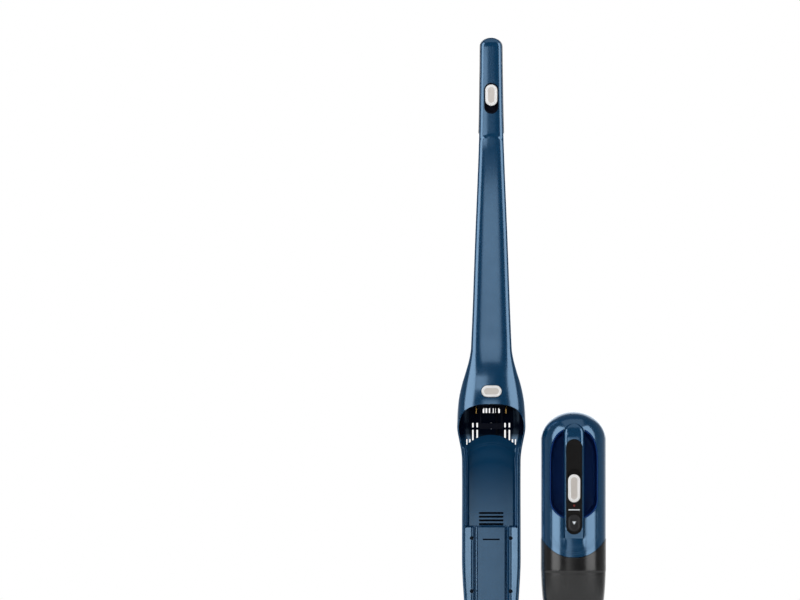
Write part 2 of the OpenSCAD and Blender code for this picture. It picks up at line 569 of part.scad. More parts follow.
module handle_switch() color(silver) on_grip() {
    slab(grip_face - 3, grip_face + 4.2) pill(switch_w - 0.6, switch_len - 0.6);
    slab(grip_face - 3.6, grip_face - 2) pill(switch_w - 8, switch_len - 8);
}
module bead_line(points, r) for (i = [0:len(points)-2]) {
    a = points[i];
    d = points[i+1] - a;
    l = norm(d);
    translate(a) rotate([0, acos(d[2]/l), atan2(d[1], d[0])]) cylinder(r = r, h = l, $fn = 12);
    translate(points[i+1]) sphere(r = r, $fn = 12);
}
module wire_loom() color(black) {
    x = loom_x;
    y = back_inner_y - 2.4;
    bead_line([[x, y, swivel_z + 14], [x, y, dome_low - 10], [x, y - 0.6, arch_z - 8], [x, y - 1.2, charge_z],
        [x, 12.4, neck_low_z], [x, 12, grip_z - 143], [x - 4, 13, grip_z - 30], [x - 6, 18, grip_z + 20],
        [0, 8 + lean(switch_z), switch_z - 10]], 1.7);
}
module release_button() color(silver) {
    y = split_y - stick_f(release_z);
    slab(y - 1.6, y + 1.2) translate([0, release_z]) pill(release_w, release_h);
    translate([-3, y + 1, release_z + 3]) cube([6, 7.9, 4]);
}
latch_y = split_y - 3;
latch_z = arch_z + 7.6;
latch_x = 2.2;
module release_latch() color(black) difference() {
    y = split_y - stick_f(release_z) + 9.4;
    union() {
        translate([0, latch_y, latch_z]) along_x(4, -latch_x, latch_x);
        translate([-latch_x, latch_y - 19, latch_z - 3.4]) cube([2*latch_x, 19, 3]);
        translate([-latch_x, latch_y - 19, dome_z - 1.9]) cube([2*latch_x, 3, latch_z - dome_z - 1]);
        translate([-latch_x, y, latch_z - 2]) cube([2*latch_x, 3, release_z + 8 - latch_z + 2]);
    }
    translate([0, latch_y, latch_z]) along_x(1.5 + run, -9, 9);
}
module latch_pin() color(steel) {
    translate([0, latch_y, latch_z]) along_x(1.5, -latch_x - 3.7, latch_x + 3.7);
    for (s = [-1, 1]) difference() {
        translate([s > 0 ? latch_x + 0.8 : -latch_x - 3.8, latch_y - 3, arch_z - 0.7]) cube([3, 6, 12]);
        translate([0, latch_y, latch_z]) along_x(1.52, -9, 9);
    }
}
eject_face = rim_y - 5;
module ejector() color(black) {
    translate([-rail_x - 2, eject_face, dome_low + 16]) cube([2*rail_x + 4, 3, 9]);
    for (s = [-1, 1]) {
        translate([s*rail_x - 1, eject_face, dome_low + 16]) cube([2, 3, rail_z - dome_low - 14]);
        translate([s*rail_x - 1, -20, rail_z - 2]) cube([2, 22, 3]);
        translate([s*rail_x - 2.3, -20, rail_z]) cube([4.6, 22, 3]);
    }
}
spring_y = [eject_face + 3.2, back_inner_y - 0.8];
spring_turns = 6;
module ejector_spring() color(steel) translate([0, spring_y[1], dome_low + 20.5]) rotate([90, 0, 0])
    linear_extrude(height = spring_y[1] - spring_y[0], twist = -360*spring_turns, slices = 96, segments = 8)
        translate([4.5, 0]) circle(0.7, $fn = 8);
module charge_socket() color(black) translate([0, 0, charge_z]) rotate([-90, 0, 0]) {
    difference() {
        union() {
            translate([0, 0, 8]) cylinder(r = 5, h = 12.6);
            translate([0, 0, 14.8]) cylinder(r = 7, h = 1.8);
        }
        translate([0, 0, 10]) cylinder(r = 2.9, h = 12);
    }
}

// ---- Handheld unit --------------------------------------------------------
module casing(back) difference() {
    arc_wall([for (z = casing_levels) hand_half(z, 0, back)],
        [for (z = casing_levels) hand_half(z, wall_t, back)]);
    slab(-120, 20) below_dip();
}
casing_screw_x = 24;
casing_screw_z = [dome_low - 30, bin_z + 22];
module casing_front() color(blue) lifted_out() translate([0, -seam/2, 0]) difference() {
    casing(0);
    slab(hh_front - 10, hh_mid + 1) well_outline(0.3);
    translate([-bridge_w/2 - seam/2, hh_front - 10, bridge_low - 0.1])
        cube([bridge_w + seam, 40, bridge_top - bridge_low + 0.2]);
}
module casing_back() color(blue) lifted_out() translate([0, seam/2, 0]) difference() {
    casing(1);
    for (s = [-1, 1], x = [16, 21, 26, 31]) translate([s*x - 1.2, hh_mid + 20, dome_low + 4])
        cube([2.4, 60, 20]);
    translate([-5, latch_y - 20.5, dome_z - 6.5]) cube([10, 7, 20]);
    for (s = [-1, 1], z = casing_screw_z) translate([s*casing_screw_x, 20, z]) rotate([90, 0, 0]) {
        cylinder(r = 3.2, h = 22.5);
        cylinder(r = 1.6, h = 30);
    }
}
// Outline of the finger recess: rounder above than below, straight between, grown by g
module well_outline(g = 0) polygon(concat(
    [for (i = [0:20]) sup(well_w/2 + g, 0.39*well_h + g, 2.6, 9*i) + [0, well_z + 0.11*well_h]],
    [for (i = [0:20]) sup(well_w/2 + g, 0.22*well_h + g, 2, 180 + 9*i) + [0, well_z - 0.28*well_h]]));
well_levels = [bridge_low, bridge_low + 60, dome_low - 30, dome_low, dome_low + 6.9, dome_low + 14.3,
    dome_low + 21, dome_low + 28];
module hand_well() color(navy) lifted_out() {
    difference() {
        intersection() {
            stack([for (z = well_levels) hand_ring(z, wall_t + 0.25)]);
            slab(hh_front - 10, hh_mid + 2.5) well_outline(-0.2);
        }
        slab(hh_front - 11, hh_mid + 0.5) well_outline(-2.2);
        translate([-bridge_w/2 - seam/2, hh_front - 10, bridge_low]) cube([bridge_w + seam,
            bridge_back - hh_front + 10.3, bridge_top - bridge_low + 10]);
    }
    // bosses that carry the control board
    for (s = [-1, 1], z = [cell_z - 3, cell_z + 56]) translate([s*23 - 3, hh_mid + 2.4, z])
        cube([6, board_y - 0.1 - hh_mid - 2.4, 6]);
}
function bar_ring(z, w, d0, y1) = let (y0 = bridge_y(z) + d0, c = min(2.5, (y1 - y0)/3))
    [[-w, y0 + c, z], [-w + c, y0, z], [w - c, y0, z], [w, y0 + c, z], [w, y1, z], [-w, y1, z]];
function layer_ring(z, w, d0, d1) = let (y = bridge_y(z))
    [[-w, y + d0, z], [w, y + d0, z], [w, y + d1, z], [-w, y + d1, z]];
module bridge_layer(w, d0, d1) stack([for (z = bridge_levels) layer_ring(z, w, d0, d1)]);
module insert_shape(g = 0) translate([0, insert_z]) pill(insert_w + 2*g, insert_len + 2*g);
module button_hole() translate([0, button_z]) pill(button_w + 2*button_gap, button_h + 2*button_gap);
module bridge_cover() color(blue) lifted_out() difference() {
    stack([for (z = bridge_levels) bar_ring(z, bridge_w/2, 0, bridge_back)]);
    // hollow from the back, closed where fingers go round it
    translate([-bridge_w/2 + 2, hh_front + 8, bridge_low + 3]) cube([bridge_w - 4, 40, 22]);
    translate([-bridge_w/2 + 2, hh_front + 8, bridge_low + 3])
        cube([bridge_w - 4, bridge_back - hh_front - 10, dome_low - bridge_low - 8]);
    intersection() {
        bridge_layer(insert_w/2 + 1, -5, 2.8);
        slab(hh_front - 20, hh_mid) insert_shape(0.15);
    }
    slab(hh_front - 10, hh_front + 0.6 + push_travel) button_hole();
}
module grip_insert() color(black) lifted_out() difference() {
    intersection() {
        bridge_layer(insert_w/2, -0.9, 2.6);
        slab(hh_front - 20, hh_mid) insert_shape();
    }
    slab(hh_front - 20, hh_front - 1.8) translate([0, power_z + switch_travel/2])
        pill(power_w + 2*button_gap + 0.6, power_len + switch_travel + 2*button_gap);
    slab(hh_front - 20, hh_front + 5) button_hole();
    slab(hh_front - 20, hh_front + 5) translate([0, lamp_z]) circle(1.65);
}
module power_switch() color(silver) lifted_out() {
    slab(hh_front - 5.6, hh_front - 2) translate([0, power_z]) pill(power_w, power_len);
    slab(hh_front - 6.2, hh_front - 4) translate([0, power_z]) pill(power_w - 9, power_len - 9);
}
module bin_button() color(black) lifted_out() slab(hh_front - 4.7, hh_front + 0.4)
    translate([0, button_z]) pill(button_w, button_h);
module charge_lamp() color("red") lifted_out()
    slab(hh_front - 4, hh_front - 0.6) translate([0, lamp_z]) circle(1.6);
mount_z = bin_z - 4;
module mount_ring(w, k = 40) oval(hh_w - 2*wall_t - w, hh_d - 2*wall_t - w, casing_n, k);
module motor_mount() color(black) lifted_out() difference() {
    union() {
        translate([0, hh_mid, mount_z]) linear_extrude(2.6) mount_ring(0.5);
        translate([0, fan_y, mount_z]) cylinder(r = 22.3, h = 4);
    }
    translate([0, fan_y, mount_z - 1]) cylinder(r = 11, h = 8);
}
module fan_shroud() color(black) lifted_out() translate([0, fan_y, mount_z + 4]) difference() {
    cylinder(r = 22.3, h = 15);
    translate([0, 0, -1]) cylinder(r = 20.6, h = 14.4);
    cylinder(r = 3.5, h = 20);
    for (a = [0:60:300]) rotate(a) translate([14, -3, 8]) cube([12, 6, 5]);
    for (a = [30:60:330]) rotate(a) translate([9.5, 0, 10]) cylinder(r = 3, h = 8);
}
module fan_wheel() color(silver) lifted_out() translate([0, fan_y, mount_z + 4]) {
    translate([0, 0, 1.6]) cylinder(r = 4.5, h = 10);
    translate([0, 0, 9.6]) cylinder(r = 20, h = 1.6);
    translate([0, 0, 1.6]) cylinder(r = 2, h = 16);
    for (a = [0:40:320]) rotate(a) translate([4, -0.6, 2]) cube([15.4, 1.2, 8]);
}
module motor_can() color(steel) lifted_out() translate([0, fan_y, mount_z + 19.2]) difference() {
    union() {
        cylinder(r = 17.5, h = 42);
        translate([0, 0, 42]) cylinder(r = 6, h = 4);
    }
    translate([0, 0, -1]) cylinder(r = 2.1, h = 12);
}
cell_z = dome_low - 68;
cell_y = hh_back - 23;
cell_x = [-30, -10, 10, 30];
cell_r = 9.1;
board_y = hh_back - 40;
module battery_cells() color("darkgreen") lifted_out() for (x = cell_x)
    translate([x, cell_y, cell_z]) {
        cylinder(r = cell_r, h = 63);
        cylinder(r = 3, h = 65);
    }
module battery_frame() color(black) lifted_out() difference() {
    union() {
        for (z = [cell_z - 4, cell_z + 61]) {
            for (x = cell_x) translate([x, cell_y, z]) cylinder(r = cell_r + 1.1, h = 8);
            for (s = [-1, 1]) translate([s*26 - 4, cell_y - 15, z]) cube([8, 10, 8]);
        }
        translate([-0.6, cell_y - 8, cell_z]) cube([1.2, hh_back - wall_t - 0.3 - cell_y + 8, 64]);
    }
    for (x = cell_x) translate([x, cell_y, cell_z - 0.1]) cylinder(r = cell_r + 0.1, h = 65.2);
}
module control_board() color("green") lifted_out() {
    translate([-33, board_y, cell_z - 4]) cube([66, 1.6, 73]);
    for (x = [-20, 4], z = [10, 34]) translate([x, board_y - 3.4, cell_z + z]) cube([14, 3.5, 10]);
}
filter_levels = [dome_low - 2, dome_low, dome_low + 14.3, dome_low + 24];
module exhaust_filter() color(black) lifted_out() difference() {
    intersection() {
        stack([for (z = filter_levels) hand_ring(z, wall_t + 0.3)]);
        translate([-38, hh_mid + 22, dome_low + 2]) cube([76, 60, 21.5]);
    }
    stack([for (z = filter_levels) hand_ring(z, wall_t + 6.3)]);
}
module casing_screws() color(steel) lifted_out() for (s = [-1, 1], z = casing_screw_z)
    translate([s*casing_screw_x, hh_back - 2.6, z]) rotate([90, 0, 0]) difference() {
        union() {
            cylinder(r = 3, h = 1.8);
            cylinder(r = 1.5, h = 9);
        }
        translate([-2, -0.5, -1]) cube([4, 1, 2]);
    }
module dust_bin() color(smoke) lifted_out() difference() {
    stack([for (z = bin_levels) hand_ring(z)]);
    difference() {
        stack([for (z = concat(bin_levels, [bin_z + 5])) hand_ring(z == mouth_z ? z - 1 : z, wall_t)]);
        beyond_slant(wall_t*1.42);
    }
    beyond_slant(0);
    translate([0, duct_y, mouth_z - 20]) linear_extrude(60) oval(mouth_w - 12, 24);
    slab(-140, 40) difference() {
        translate([-80, bin_z - 60]) square([160, 100]);
        below_dip(-2*seam);
    }
}
module inlet_duct() color(black) lifted_out() translate([0, duct_y, 0]) difference() {
    translate([0, 0, mouth_z + 12]) linear_extrude(70) oval(mouth_w - 12.6, 23.4);
    translate([0, 0, mouth_z + 10]) linear_extrude(80) oval(mouth_w - 16, 20);
    translate([0, -duct_y, 0]) beyond_slant(0);
}
flap_z = mouth_z + 82.4;
flap_y = hh_back - 8.6;
module inlet_flap() color(black) lifted_out() {
    translate([0, duct_y, flap_z]) linear_extrude(1.2) difference() {
        oval(mouth_w - 13, 23);
        translate([-40, flap_y - duct_y - 1]) square([80, 10]);
    }
    translate([0, flap_y - 1, flap_z + 0.9]) along_x(0.9, -12, 12);
}
module filter_frame() color(black) lifted_out() translate([0, hh_mid, 0]) {
    difference() {
        union() {
            translate([0, 0, bin_z - 9]) linear_extrude(2) mount_ring(1);
            translate([0, 0, bin_z - 66]) cylinder(r = 32, h = 58);
        }
        translate([0, 0, bin_z - 64]) cylinder(r = 30.4, h = 60);
        for (a = [0:45:315]) rotate(a) translate([20, -8, bin_z - 58]) cube([20, 16, 40]);
    }
}
module zigzag(r_out, r_in) polygon([for (i = [0:47]) (i%2 ? r_out : r_in)*[cos(7.5*i), sin(7.5*i)]]);
module filter_pleats() color("white") lifted_out() translate([0, hh_mid, bin_z - 63.8])
    linear_extrude(54) difference() {
        zigzag(29.6, 24);
        zigzag(28, 22.4);
    }
module bin_seal() color(black) lifted_out() translate([0, hh_mid, bin_z - 6.9])
    linear_extrude(2.6) difference() {
        mount_ring(1.6);
        mount_ring(9);
    }

head_top_shell();
head_base();
head_bumper();
head_skids();
head_screws();
pivot_pins();
brush_core();
brush_bristles();
brush_pulley();
brush_bushes();
brush_lock();
drive_motor();
motor_pinion();
drive_belt();
wheel_axles();
wheel_left();
wheel_right();
neck_knuckle();
neck_ring();
lower_duct();
duct_gasket();
cradle_back_shell();
cradle_tray();
tray_screws();
dock_roof();
contact_pins();
handle_front_shell();
grip_back();
switch_recess();
handle_switch();
wire_loom();
release_button();
release_latch();
latch_pin();
ejector();
ejector_spring();
casing_front();
casing_back();
hand_well();
bridge_cover();
grip_insert();
power_switch();
bin_button();
charge_lamp();
motor_can();
motor_mount();
fan_shroud();
fan_wheel();
battery_cells();
battery_frame();
control_board();
exhaust_filter();
charge_socket();
casing_screws();
bin_seal();
dust_bin();
filter_frame();
filter_pleats();
inlet_duct();
inlet_flap();
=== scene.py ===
import bpy, bmesh, json, math
import numpy as np
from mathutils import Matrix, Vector
from mathutils.geometry import delaunay_2d_cdt


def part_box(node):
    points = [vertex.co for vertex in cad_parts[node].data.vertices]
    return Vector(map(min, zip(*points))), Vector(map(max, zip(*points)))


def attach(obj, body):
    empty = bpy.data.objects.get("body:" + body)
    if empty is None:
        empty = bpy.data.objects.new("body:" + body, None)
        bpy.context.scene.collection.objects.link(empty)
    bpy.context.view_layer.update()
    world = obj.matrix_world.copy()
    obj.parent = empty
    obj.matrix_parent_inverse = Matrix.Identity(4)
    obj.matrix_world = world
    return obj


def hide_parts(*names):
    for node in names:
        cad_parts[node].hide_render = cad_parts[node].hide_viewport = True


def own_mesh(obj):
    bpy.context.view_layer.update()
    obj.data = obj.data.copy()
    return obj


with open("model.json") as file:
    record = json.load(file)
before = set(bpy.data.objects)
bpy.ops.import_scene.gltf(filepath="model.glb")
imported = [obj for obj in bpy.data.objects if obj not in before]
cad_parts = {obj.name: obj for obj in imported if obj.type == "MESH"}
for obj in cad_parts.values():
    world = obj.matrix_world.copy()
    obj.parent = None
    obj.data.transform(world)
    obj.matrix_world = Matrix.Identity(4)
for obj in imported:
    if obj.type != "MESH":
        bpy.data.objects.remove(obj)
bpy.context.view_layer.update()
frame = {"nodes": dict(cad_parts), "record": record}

MM = 0.001
record = frame["record"]
body_of = {n: b for b, ns in record["behaviour"]["bodies"].items() for n in ns}
slot_of = {p["node"]: p["material_slot"] for p in record["subparts"]}


def lo(node):
    return [c/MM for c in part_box(node)[0]]


def hi(node):
    return [c/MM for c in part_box(node)[1]]


# ---- Places, in millimetres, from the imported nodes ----
# heights
top_z = hi("handle_front_shell")[2]
swivel_z = lo("cradle_back_shell")[2] - 10
mouth_z = swivel_z + 50
bin_z = hi("bin_seal")[2] + 4.3
dome_low = lo("battery_cells")[2] + 68
dome_z = hi("casing_back")[2]
dome_h = dome_z - dome_low
arch_z = (lo("charge_socket")[2] + hi("charge_socket")[2])/2 - 40
neck_low_z = arch_z + 89
grip_z = lo("grip_back")[2] - 0.3
# depths: tray, back of the docked handheld unit, and the plane in which the stick's shells meet
tray_y = lo("cradle_tray")[1] + 3
hh_back = tray_y - 1.5
split_y = hh_back - 12
# the handheld unit stands aside and, by eject, forward of its dock
aside = (lo("casing_back")[0] + hi("casing_back")[0])/2
eject = hh_back - hi("dust_bin")[1]
hh_w = hi("casing_back")[0] - lo("casing_back")[0]
hh_front = lo("casing_front")[1] + eject + 0.15
hh_mid = (hh_back + hh_front)/2
duct_y = split_y - 3
# wall, depth of the back shell, and half widths: cradle (cr), shoulder (sh), neck, mouth, handle (hw_low to hw_high)
wall = 2.4
back_d = 28
cr = hh_w/2 - 4.6
sh = hh_w/2 + 3.1
neck_r = 19
mouth_w = 66
hw_low, hw_high, grip_half = 32.8, 19.6, 17.3
cap_h = 14
lean_rate = 22/(top_z - grip_z + 30)
lean_angle = math.atan(lean_rate)
# finger recess, and the bridge over it with its insert and buttons
well_w, well_h, band_h = 77, 146, 30
well_z = bin_z + band_h + well_h/2
bridge_w, insert_w, insert_len = 32, 25.6, 151
bridge_low, bridge_top = bin_z + 1, dome_low + 26
insert_z = well_z - 20
power_z = insert_z - 2.5
button_z = insert_z - insert_len/2 + 18
bridge_back = hh_mid - 30
bin_dip = 29


def curve(points, z):
    """Smooth curve through points of (place, value)."""
    p = np.array(points, float)
    z = np.asarray(z, float)
    m = np.empty(len(p))
    m[1:-1] = (p[2:, 1] - p[:-2, 1])/(p[2:, 0] - p[:-2, 0])
    m[0] = (p[1, 1] - p[0, 1])/(p[1, 0] - p[0, 0])
    m[-1] = (p[-1, 1] - p[-2, 1])/(p[-1, 0] - p[-2, 0])
    i = np.clip(np.searchsorted(p[:, 0], z) - 1, 0, len(p) - 2)
    h = p[i + 1, 0] - p[i, 0]
    t = np.clip((z - p[i, 0])/h, 0, 1)
    return ((2*t**3 - 3*t**2 + 1)*p[i, 1] + (t**3 - 2*t**2 + t)*h*m[i]
            + (3*t**2 - 2*t**3)*p[i + 1, 1] + (t**3 - t**2)*h*m[i + 1])


def unit(a, n):
    """Point of the superellipse |x|^n + |y|^n = 1 in direction a (0 is +y)."""
    s, c = np.sin(a), np.cos(a)
    r = (np.abs(s)**n + np.abs(c)**n)**(-1/n)
    return s*r, c*r


def smooth(t):
    t = np.clip(t, 0, 1)
    return t*t*(3 - 2*t)


# Half width, front, back and lean of the stick by height, and the same for the handheld unit and its bridge
stick_w_pts = [[swivel_z + 10, neck_r + 6], [mouth_z - 8, cr - 13.4], [mouth_z + 40, cr - 7.4],
    [mouth_z + 106, cr - 2.6], [mouth_z + 150, cr - 0.2], [mouth_z + 190, cr], [dome_low - 34, cr],
    [dome_low - 17, cr + 1.6], [dome_low - 2, sh - 3.2], [dome_low + 14, sh - 0.3],
    [dome_low + 30, sh], [arch_z - 2, sh - 1.2], [arch_z + 12, sh - 3.1], [arch_z + 32, sh - 7.7],
    [arch_z + 51, hw_low + 8.2], [arch_z + 70, hw_low + 3], [neck_low_z, hw_low],
    [(neck_low_z + grip_z)/2, (hw_low + hw_high)/2], [grip_z, hw_high], [grip_z + 94, grip_half + 0.5],
    [top_z - 14, grip_half]]
front_pts = [[swivel_z + 10, 18], [mouth_z - 8, 22], [mouth_z + 40, 24], [dome_low, 33],
    [arch_z - 2, 32], [arch_z + 20, 28], [arch_z + 45, 20.5], [arch_z + 70, 15.5],
    [neck_low_z + 20, 12.6], [(neck_low_z + grip_z)/2, 11.4], [grip_z, 10.5], [top_z - 14, 10.2]]
back_pts = [[swivel_z + 10, back_d + 2], [mouth_z, back_d + 0.5], [mouth_z + 40, back_d],
    [arch_z, back_d], [neck_low_z, back_d - 0.5], [grip_z, 26], [top_z - 14, 24.5]]
lean_pts = [[swivel_z, 0], [grip_z - 143, 0], [grip_z - 30, 4], [grip_z + 20, 4 + 50*lean_rate],
    [top_z, 26]]
hand_w_pts = [[mouth_z, mouth_w/2], [mouth_z + 30, hh_w/2 - 14], [mouth_z + 63, hh_w/2 - 8],
    [mouth_z + 106, hh_w/2 - 2.3], [mouth_z + 140, hh_w/2 - 0.2], [mouth_z + 165, hh_w/2],
    [dome_low, hh_w/2]]
hand_front_pts = [[mouth_z, split_y - 19], [mouth_z + 30, split_y - 40], [mouth_z + 58, hh_front + 29],
    [mouth_z + 98, hh_front + 9.5], [mouth_z + 140, hh_front + 1], [mouth_z + 165, hh_front],
    [dome_low, hh_front]]
bridge_pts = [[bridge_low, 0.6], [bridge_low + 14, 3], [dome_low - 8, 3], [bridge_top, 0.2]]


def lean(z):
    return curve(lean_pts, z)


def capped(v):
    """Height and width share of a place v along the handle, whose end is rounded."""
    a = np.clip((v - top_z + cap_h)/cap_h, 0, math.pi/2)
    return (np.where(v > top_z - cap_h, top_z - cap_h + cap_h*np.sin(a), v),
            np.where(v > top_z - cap_h, np.maximum(np.cos(a), 0.02), 1))


def cap_place(z):
    """The inverse of capped()."""
    s = np.clip((np.asarray(z, float) - top_z + cap_h)/cap_h, 0, 1)
    return np.where(z > top_z - cap_h, top_z - cap_h + cap_h*np.arcsin(s), z)


def domed(v):
    """Height and width share of a place v along the handheld unit, whose top is a dome."""
    a = np.clip((v - dome_low)/dome_h, 0, math.pi/2)
    return (np.where(v > dome_low, dome_low + dome_h*np.sin(a), v),
            np.where(v > dome_low, np.maximum(np.cos(a), 0.015), 1))


def dome_place(z):
    """The inverse of domed()."""
    z = np.asarray(z, float)
    return np.where(z > dome_low, dome_low + dome_h*np.arcsin(np.clip((z - dome_low)/dome_h, 0, 1)), z)


def face_y(z):
    """Front of the handheld unit at height z, in the middle."""
    _, k = domed(dome_place(z))
    f = curve(hand_front_pts, z)
    return (hh_back + f)/2 - (hh_back - f)/2*k


# ---- Meshes ----
def inside(poly, pts):
    """Which points lie in a polygon."""
    x, y = pts[:, 0][:, None], pts[:, 1][:, None]
    a, b = poly, np.roll(poly, -1, 0)
    cross = (a[:, 1] > y) != (b[:, 1] > y)
    with np.errstate(divide="ignore", invalid="ignore"):
        xs = a[:, 0] + (y - a[:, 1])/(b[:, 1] - a[:, 1])*(b[:, 0] - a[:, 0])
    return (np.sum(cross & (x < xs), 1) % 2) == 1


def far(pts, poly, gap):
    """The points that lie at least gap away from a polygon's outline."""
    keep = np.ones(len(pts), bool)
    d = np.roll(poly, -1, 0) - poly
    for s in range(0, len(pts), 4000):
        p = pts[s:s + 4000, None]
        t = np.clip(np.sum((p - poly)*d, 2)/np.maximum(np.sum(d*d, 1), 1e-12), 0, 1)
        keep[s:s + 4000] = np.min(np.sum((p - (poly + t[..., None]*d))**2, 2), 1) > gap*gap
    return pts[keep]


def dense(poly, step):
    """A closed polygon with points at most step apart."""
    p = np.array(poly, float)
    out = []
    for a, b in zip(p, np.roll(p, -1, 0)):
        n = max(1, int(math.ceil(np.linalg.norm(b - a)/step)))
        out += [a + (b - a)*i/n for i in range(n)]
    return np.array(out)


def grown(poly, d):
    """A closed polygon moved outwards by d."""
    a = np.roll(poly, 1, 0) - np.roll(poly, -1, 0)
    n = np.stack([-a[:, 1], a[:, 0]], 1)
    n /= np.maximum(np.linalg.norm(n, axis=1), 1e-9)[:, None]
    x, y = poly[:, 0], poly[:, 1]
    area = np.sum(x*np.roll(y, -1) - y*np.roll(x, -1))
    return poly + n*d*(1 if area > 0 else -1)


def sheet(outline, holes, place, step, rings=(0.9,)):
    """Triangles over a flat region with holes, placed on a surface: (points, faces)."""
    across, along = (np.linspace(a, b, int((b - a)/step) + 2) for a, b in zip(outline.min(0), outline.max(0)))
    pts = np.stack([g.ravel() for g in np.meshgrid(across, along)], 1)
    gap = 0.55*step
    extra = [grown(h, step*r) for h in holes for r in rings]
    for e in extra:
        pts = far(pts, e, gap)
    if extra:
        pts = np.concatenate([pts] + extra)
    pts = far(pts[inside(outline, pts)], outline, gap)
    for h in holes:
        pts = far(pts[~inside(h, pts)], h, 0.5*step)
    verts, edges = [], []
    for l in [outline] + holes:
        n = len(verts)
        verts += [Vector(p) for p in l]
        edges += [(n + i, n + (i + 1) % len(l)) for i in range(len(l))]
    out = delaunay_2d_cdt(verts + [Vector(p) for p in pts], edges, [], 0, 1e-5)
    v2 = np.array([tuple(v) for v in out[0]])
    tri = np.array([f for f in out[2] if len(f) == 3])
    mid = v2[tri].mean(1)
    keep = inside(outline, mid)
    for h in holes:
        keep &= ~inside(h, mid)
    return np.stack(place(v2[:, 0], v2[:, 1]), 1), tri[keep].tolist()


def grid(rows, closed=False):
    """Quads over an array of rows of points: (points, faces)."""
    rows = np.asarray(rows, float)
    m, n, _ = rows.shape
    faces = []
    for j in range(m - 1):
        for i in range(n if closed else n - 1):
            a, b = j*n + i, j*n + (i + 1) % n
            faces.append((a, b, b + n, a + n))
    return rows.reshape(-1, 3), faces


def joined(*parts):
    """Several parts as one: (points, faces)."""
    faces, n = [], 0
    for p, f in parts:
        faces += [tuple(i + n for i in q) for q in f]
        n += len(p)
    return np.concatenate([p for p, f in parts]), faces


def moved(part, by, turn=np.eye(3)):
    return part[0] @ np.transpose(turn) + by, part[1]


def tube(rings):
    """Quads round a stack of closed rings, with both ends shut."""
    pts, faces = grid(rings, True)
    k, n = len(rings[0]), len(pts)
    return pts, faces + [tuple(range(k)), tuple(range(n - 1, n - k - 1, -1))]


def built(name, part, mats, merge, clean, out):
    """An object from points and faces in millimetres, which faces away from the point out."""
    pts, faces = part
    me = bpy.data.meshes.new(name)
    me.from_pydata((np.asarray(pts)*MM).tolist(), [], [tuple(f) for f in faces])
    bm = bmesh.new()
    bm.from_mesh(me)
    bmesh.ops.remove_doubles(bm, verts=bm.verts, dist=merge*MM)
    if clean:
        bmesh.ops.dissolve_degenerate(bm, edges=bm.edges, dist=merge*MM*0.5)
        bmesh.ops.delete(bm, geom=[v for v in bm.verts if not v.link_faces], context="VERTS")
    bmesh.ops.recalc_face_normals(bm, faces=bm.faces)
    if out is not None:
        c = Vector(out)*MM
        if sum((f.calc_center_median() - c).dot(f.normal)*f.calc_area() for f in bm.faces) < 0:
            bmesh.ops.reverse_faces(bm, faces=bm.faces)
    for f in bm.faces:
        f.smooth = True
    bm.to_mesh(me)
    bm.free()
    for m in mats:
        me.materials.append(m)
    o = bpy.data.objects.new(name, me)
    bpy.context.scene.collection.objects.link(o)
    return o


def rounded(o, width, segments, angle=38):
    """Small radius on the edges that are sharper than angle."""
    b = o.modifiers.new("edges", "BEVEL")
    b.width, b.segments, b.limit_method, b.angle_limit = width*MM, segments, "ANGLE", math.radians(angle)
    b.harden_normals = True


def solid(name, node, part, mat, thick, bevel, merge=0.02, out=None, inner=None, even=True):
    """A piece that replaces a node. A sheet gets its wall towards the inside."""
    o = built(name, part, [mat] + ([inner] if inner else []), merge, True, out)
    if thick:
        w = o.modifiers.new("wall", "SOLIDIFY")
        w.thickness, w.offset = thick*MM, -1
        w.use_even_offset, w.use_quality_normals = even, True
        w.material_offset = 1 if inner else 0
    if bevel:
        rounded(o, bevel, 3)
    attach(o, body_of[node])
    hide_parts(node)
    return o


def extra_piece(name, node, part, mat, bevel):
    """A piece that is added to a node's body."""
    o = built(name, part, [mat], 0.01, False, None)
    if bevel:
        rounded(o, bevel, 2)
    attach(o, body_of[node])


# ---- Materials ----
def colour(r, g, b):
    """A colour written as the screen shows it, as the linear one that shaders take."""
    return tuple(c/12.92 if c <= 0.04045 else ((c + 0.055)/1.055)**2.4 for c in (r/255, g/255, b/255)) + (1,)


def fill(nt, n, values):
    """Gives a shader node's sockets their constants, or the outputs that feed them."""
    for k, v in values.items():
        if isinstance(v, bpy.types.NodeSocket):
            nt.links.new(v, n.inputs[k])
        else:
            n.inputs[k].default_value = v
    return n


def shader(nt, kind, values={}, **settings):
    n = nt.nodes.new(kind)
    for k, v in settings.items():
        setattr(n, k, v)
    return fill(nt, n, values)


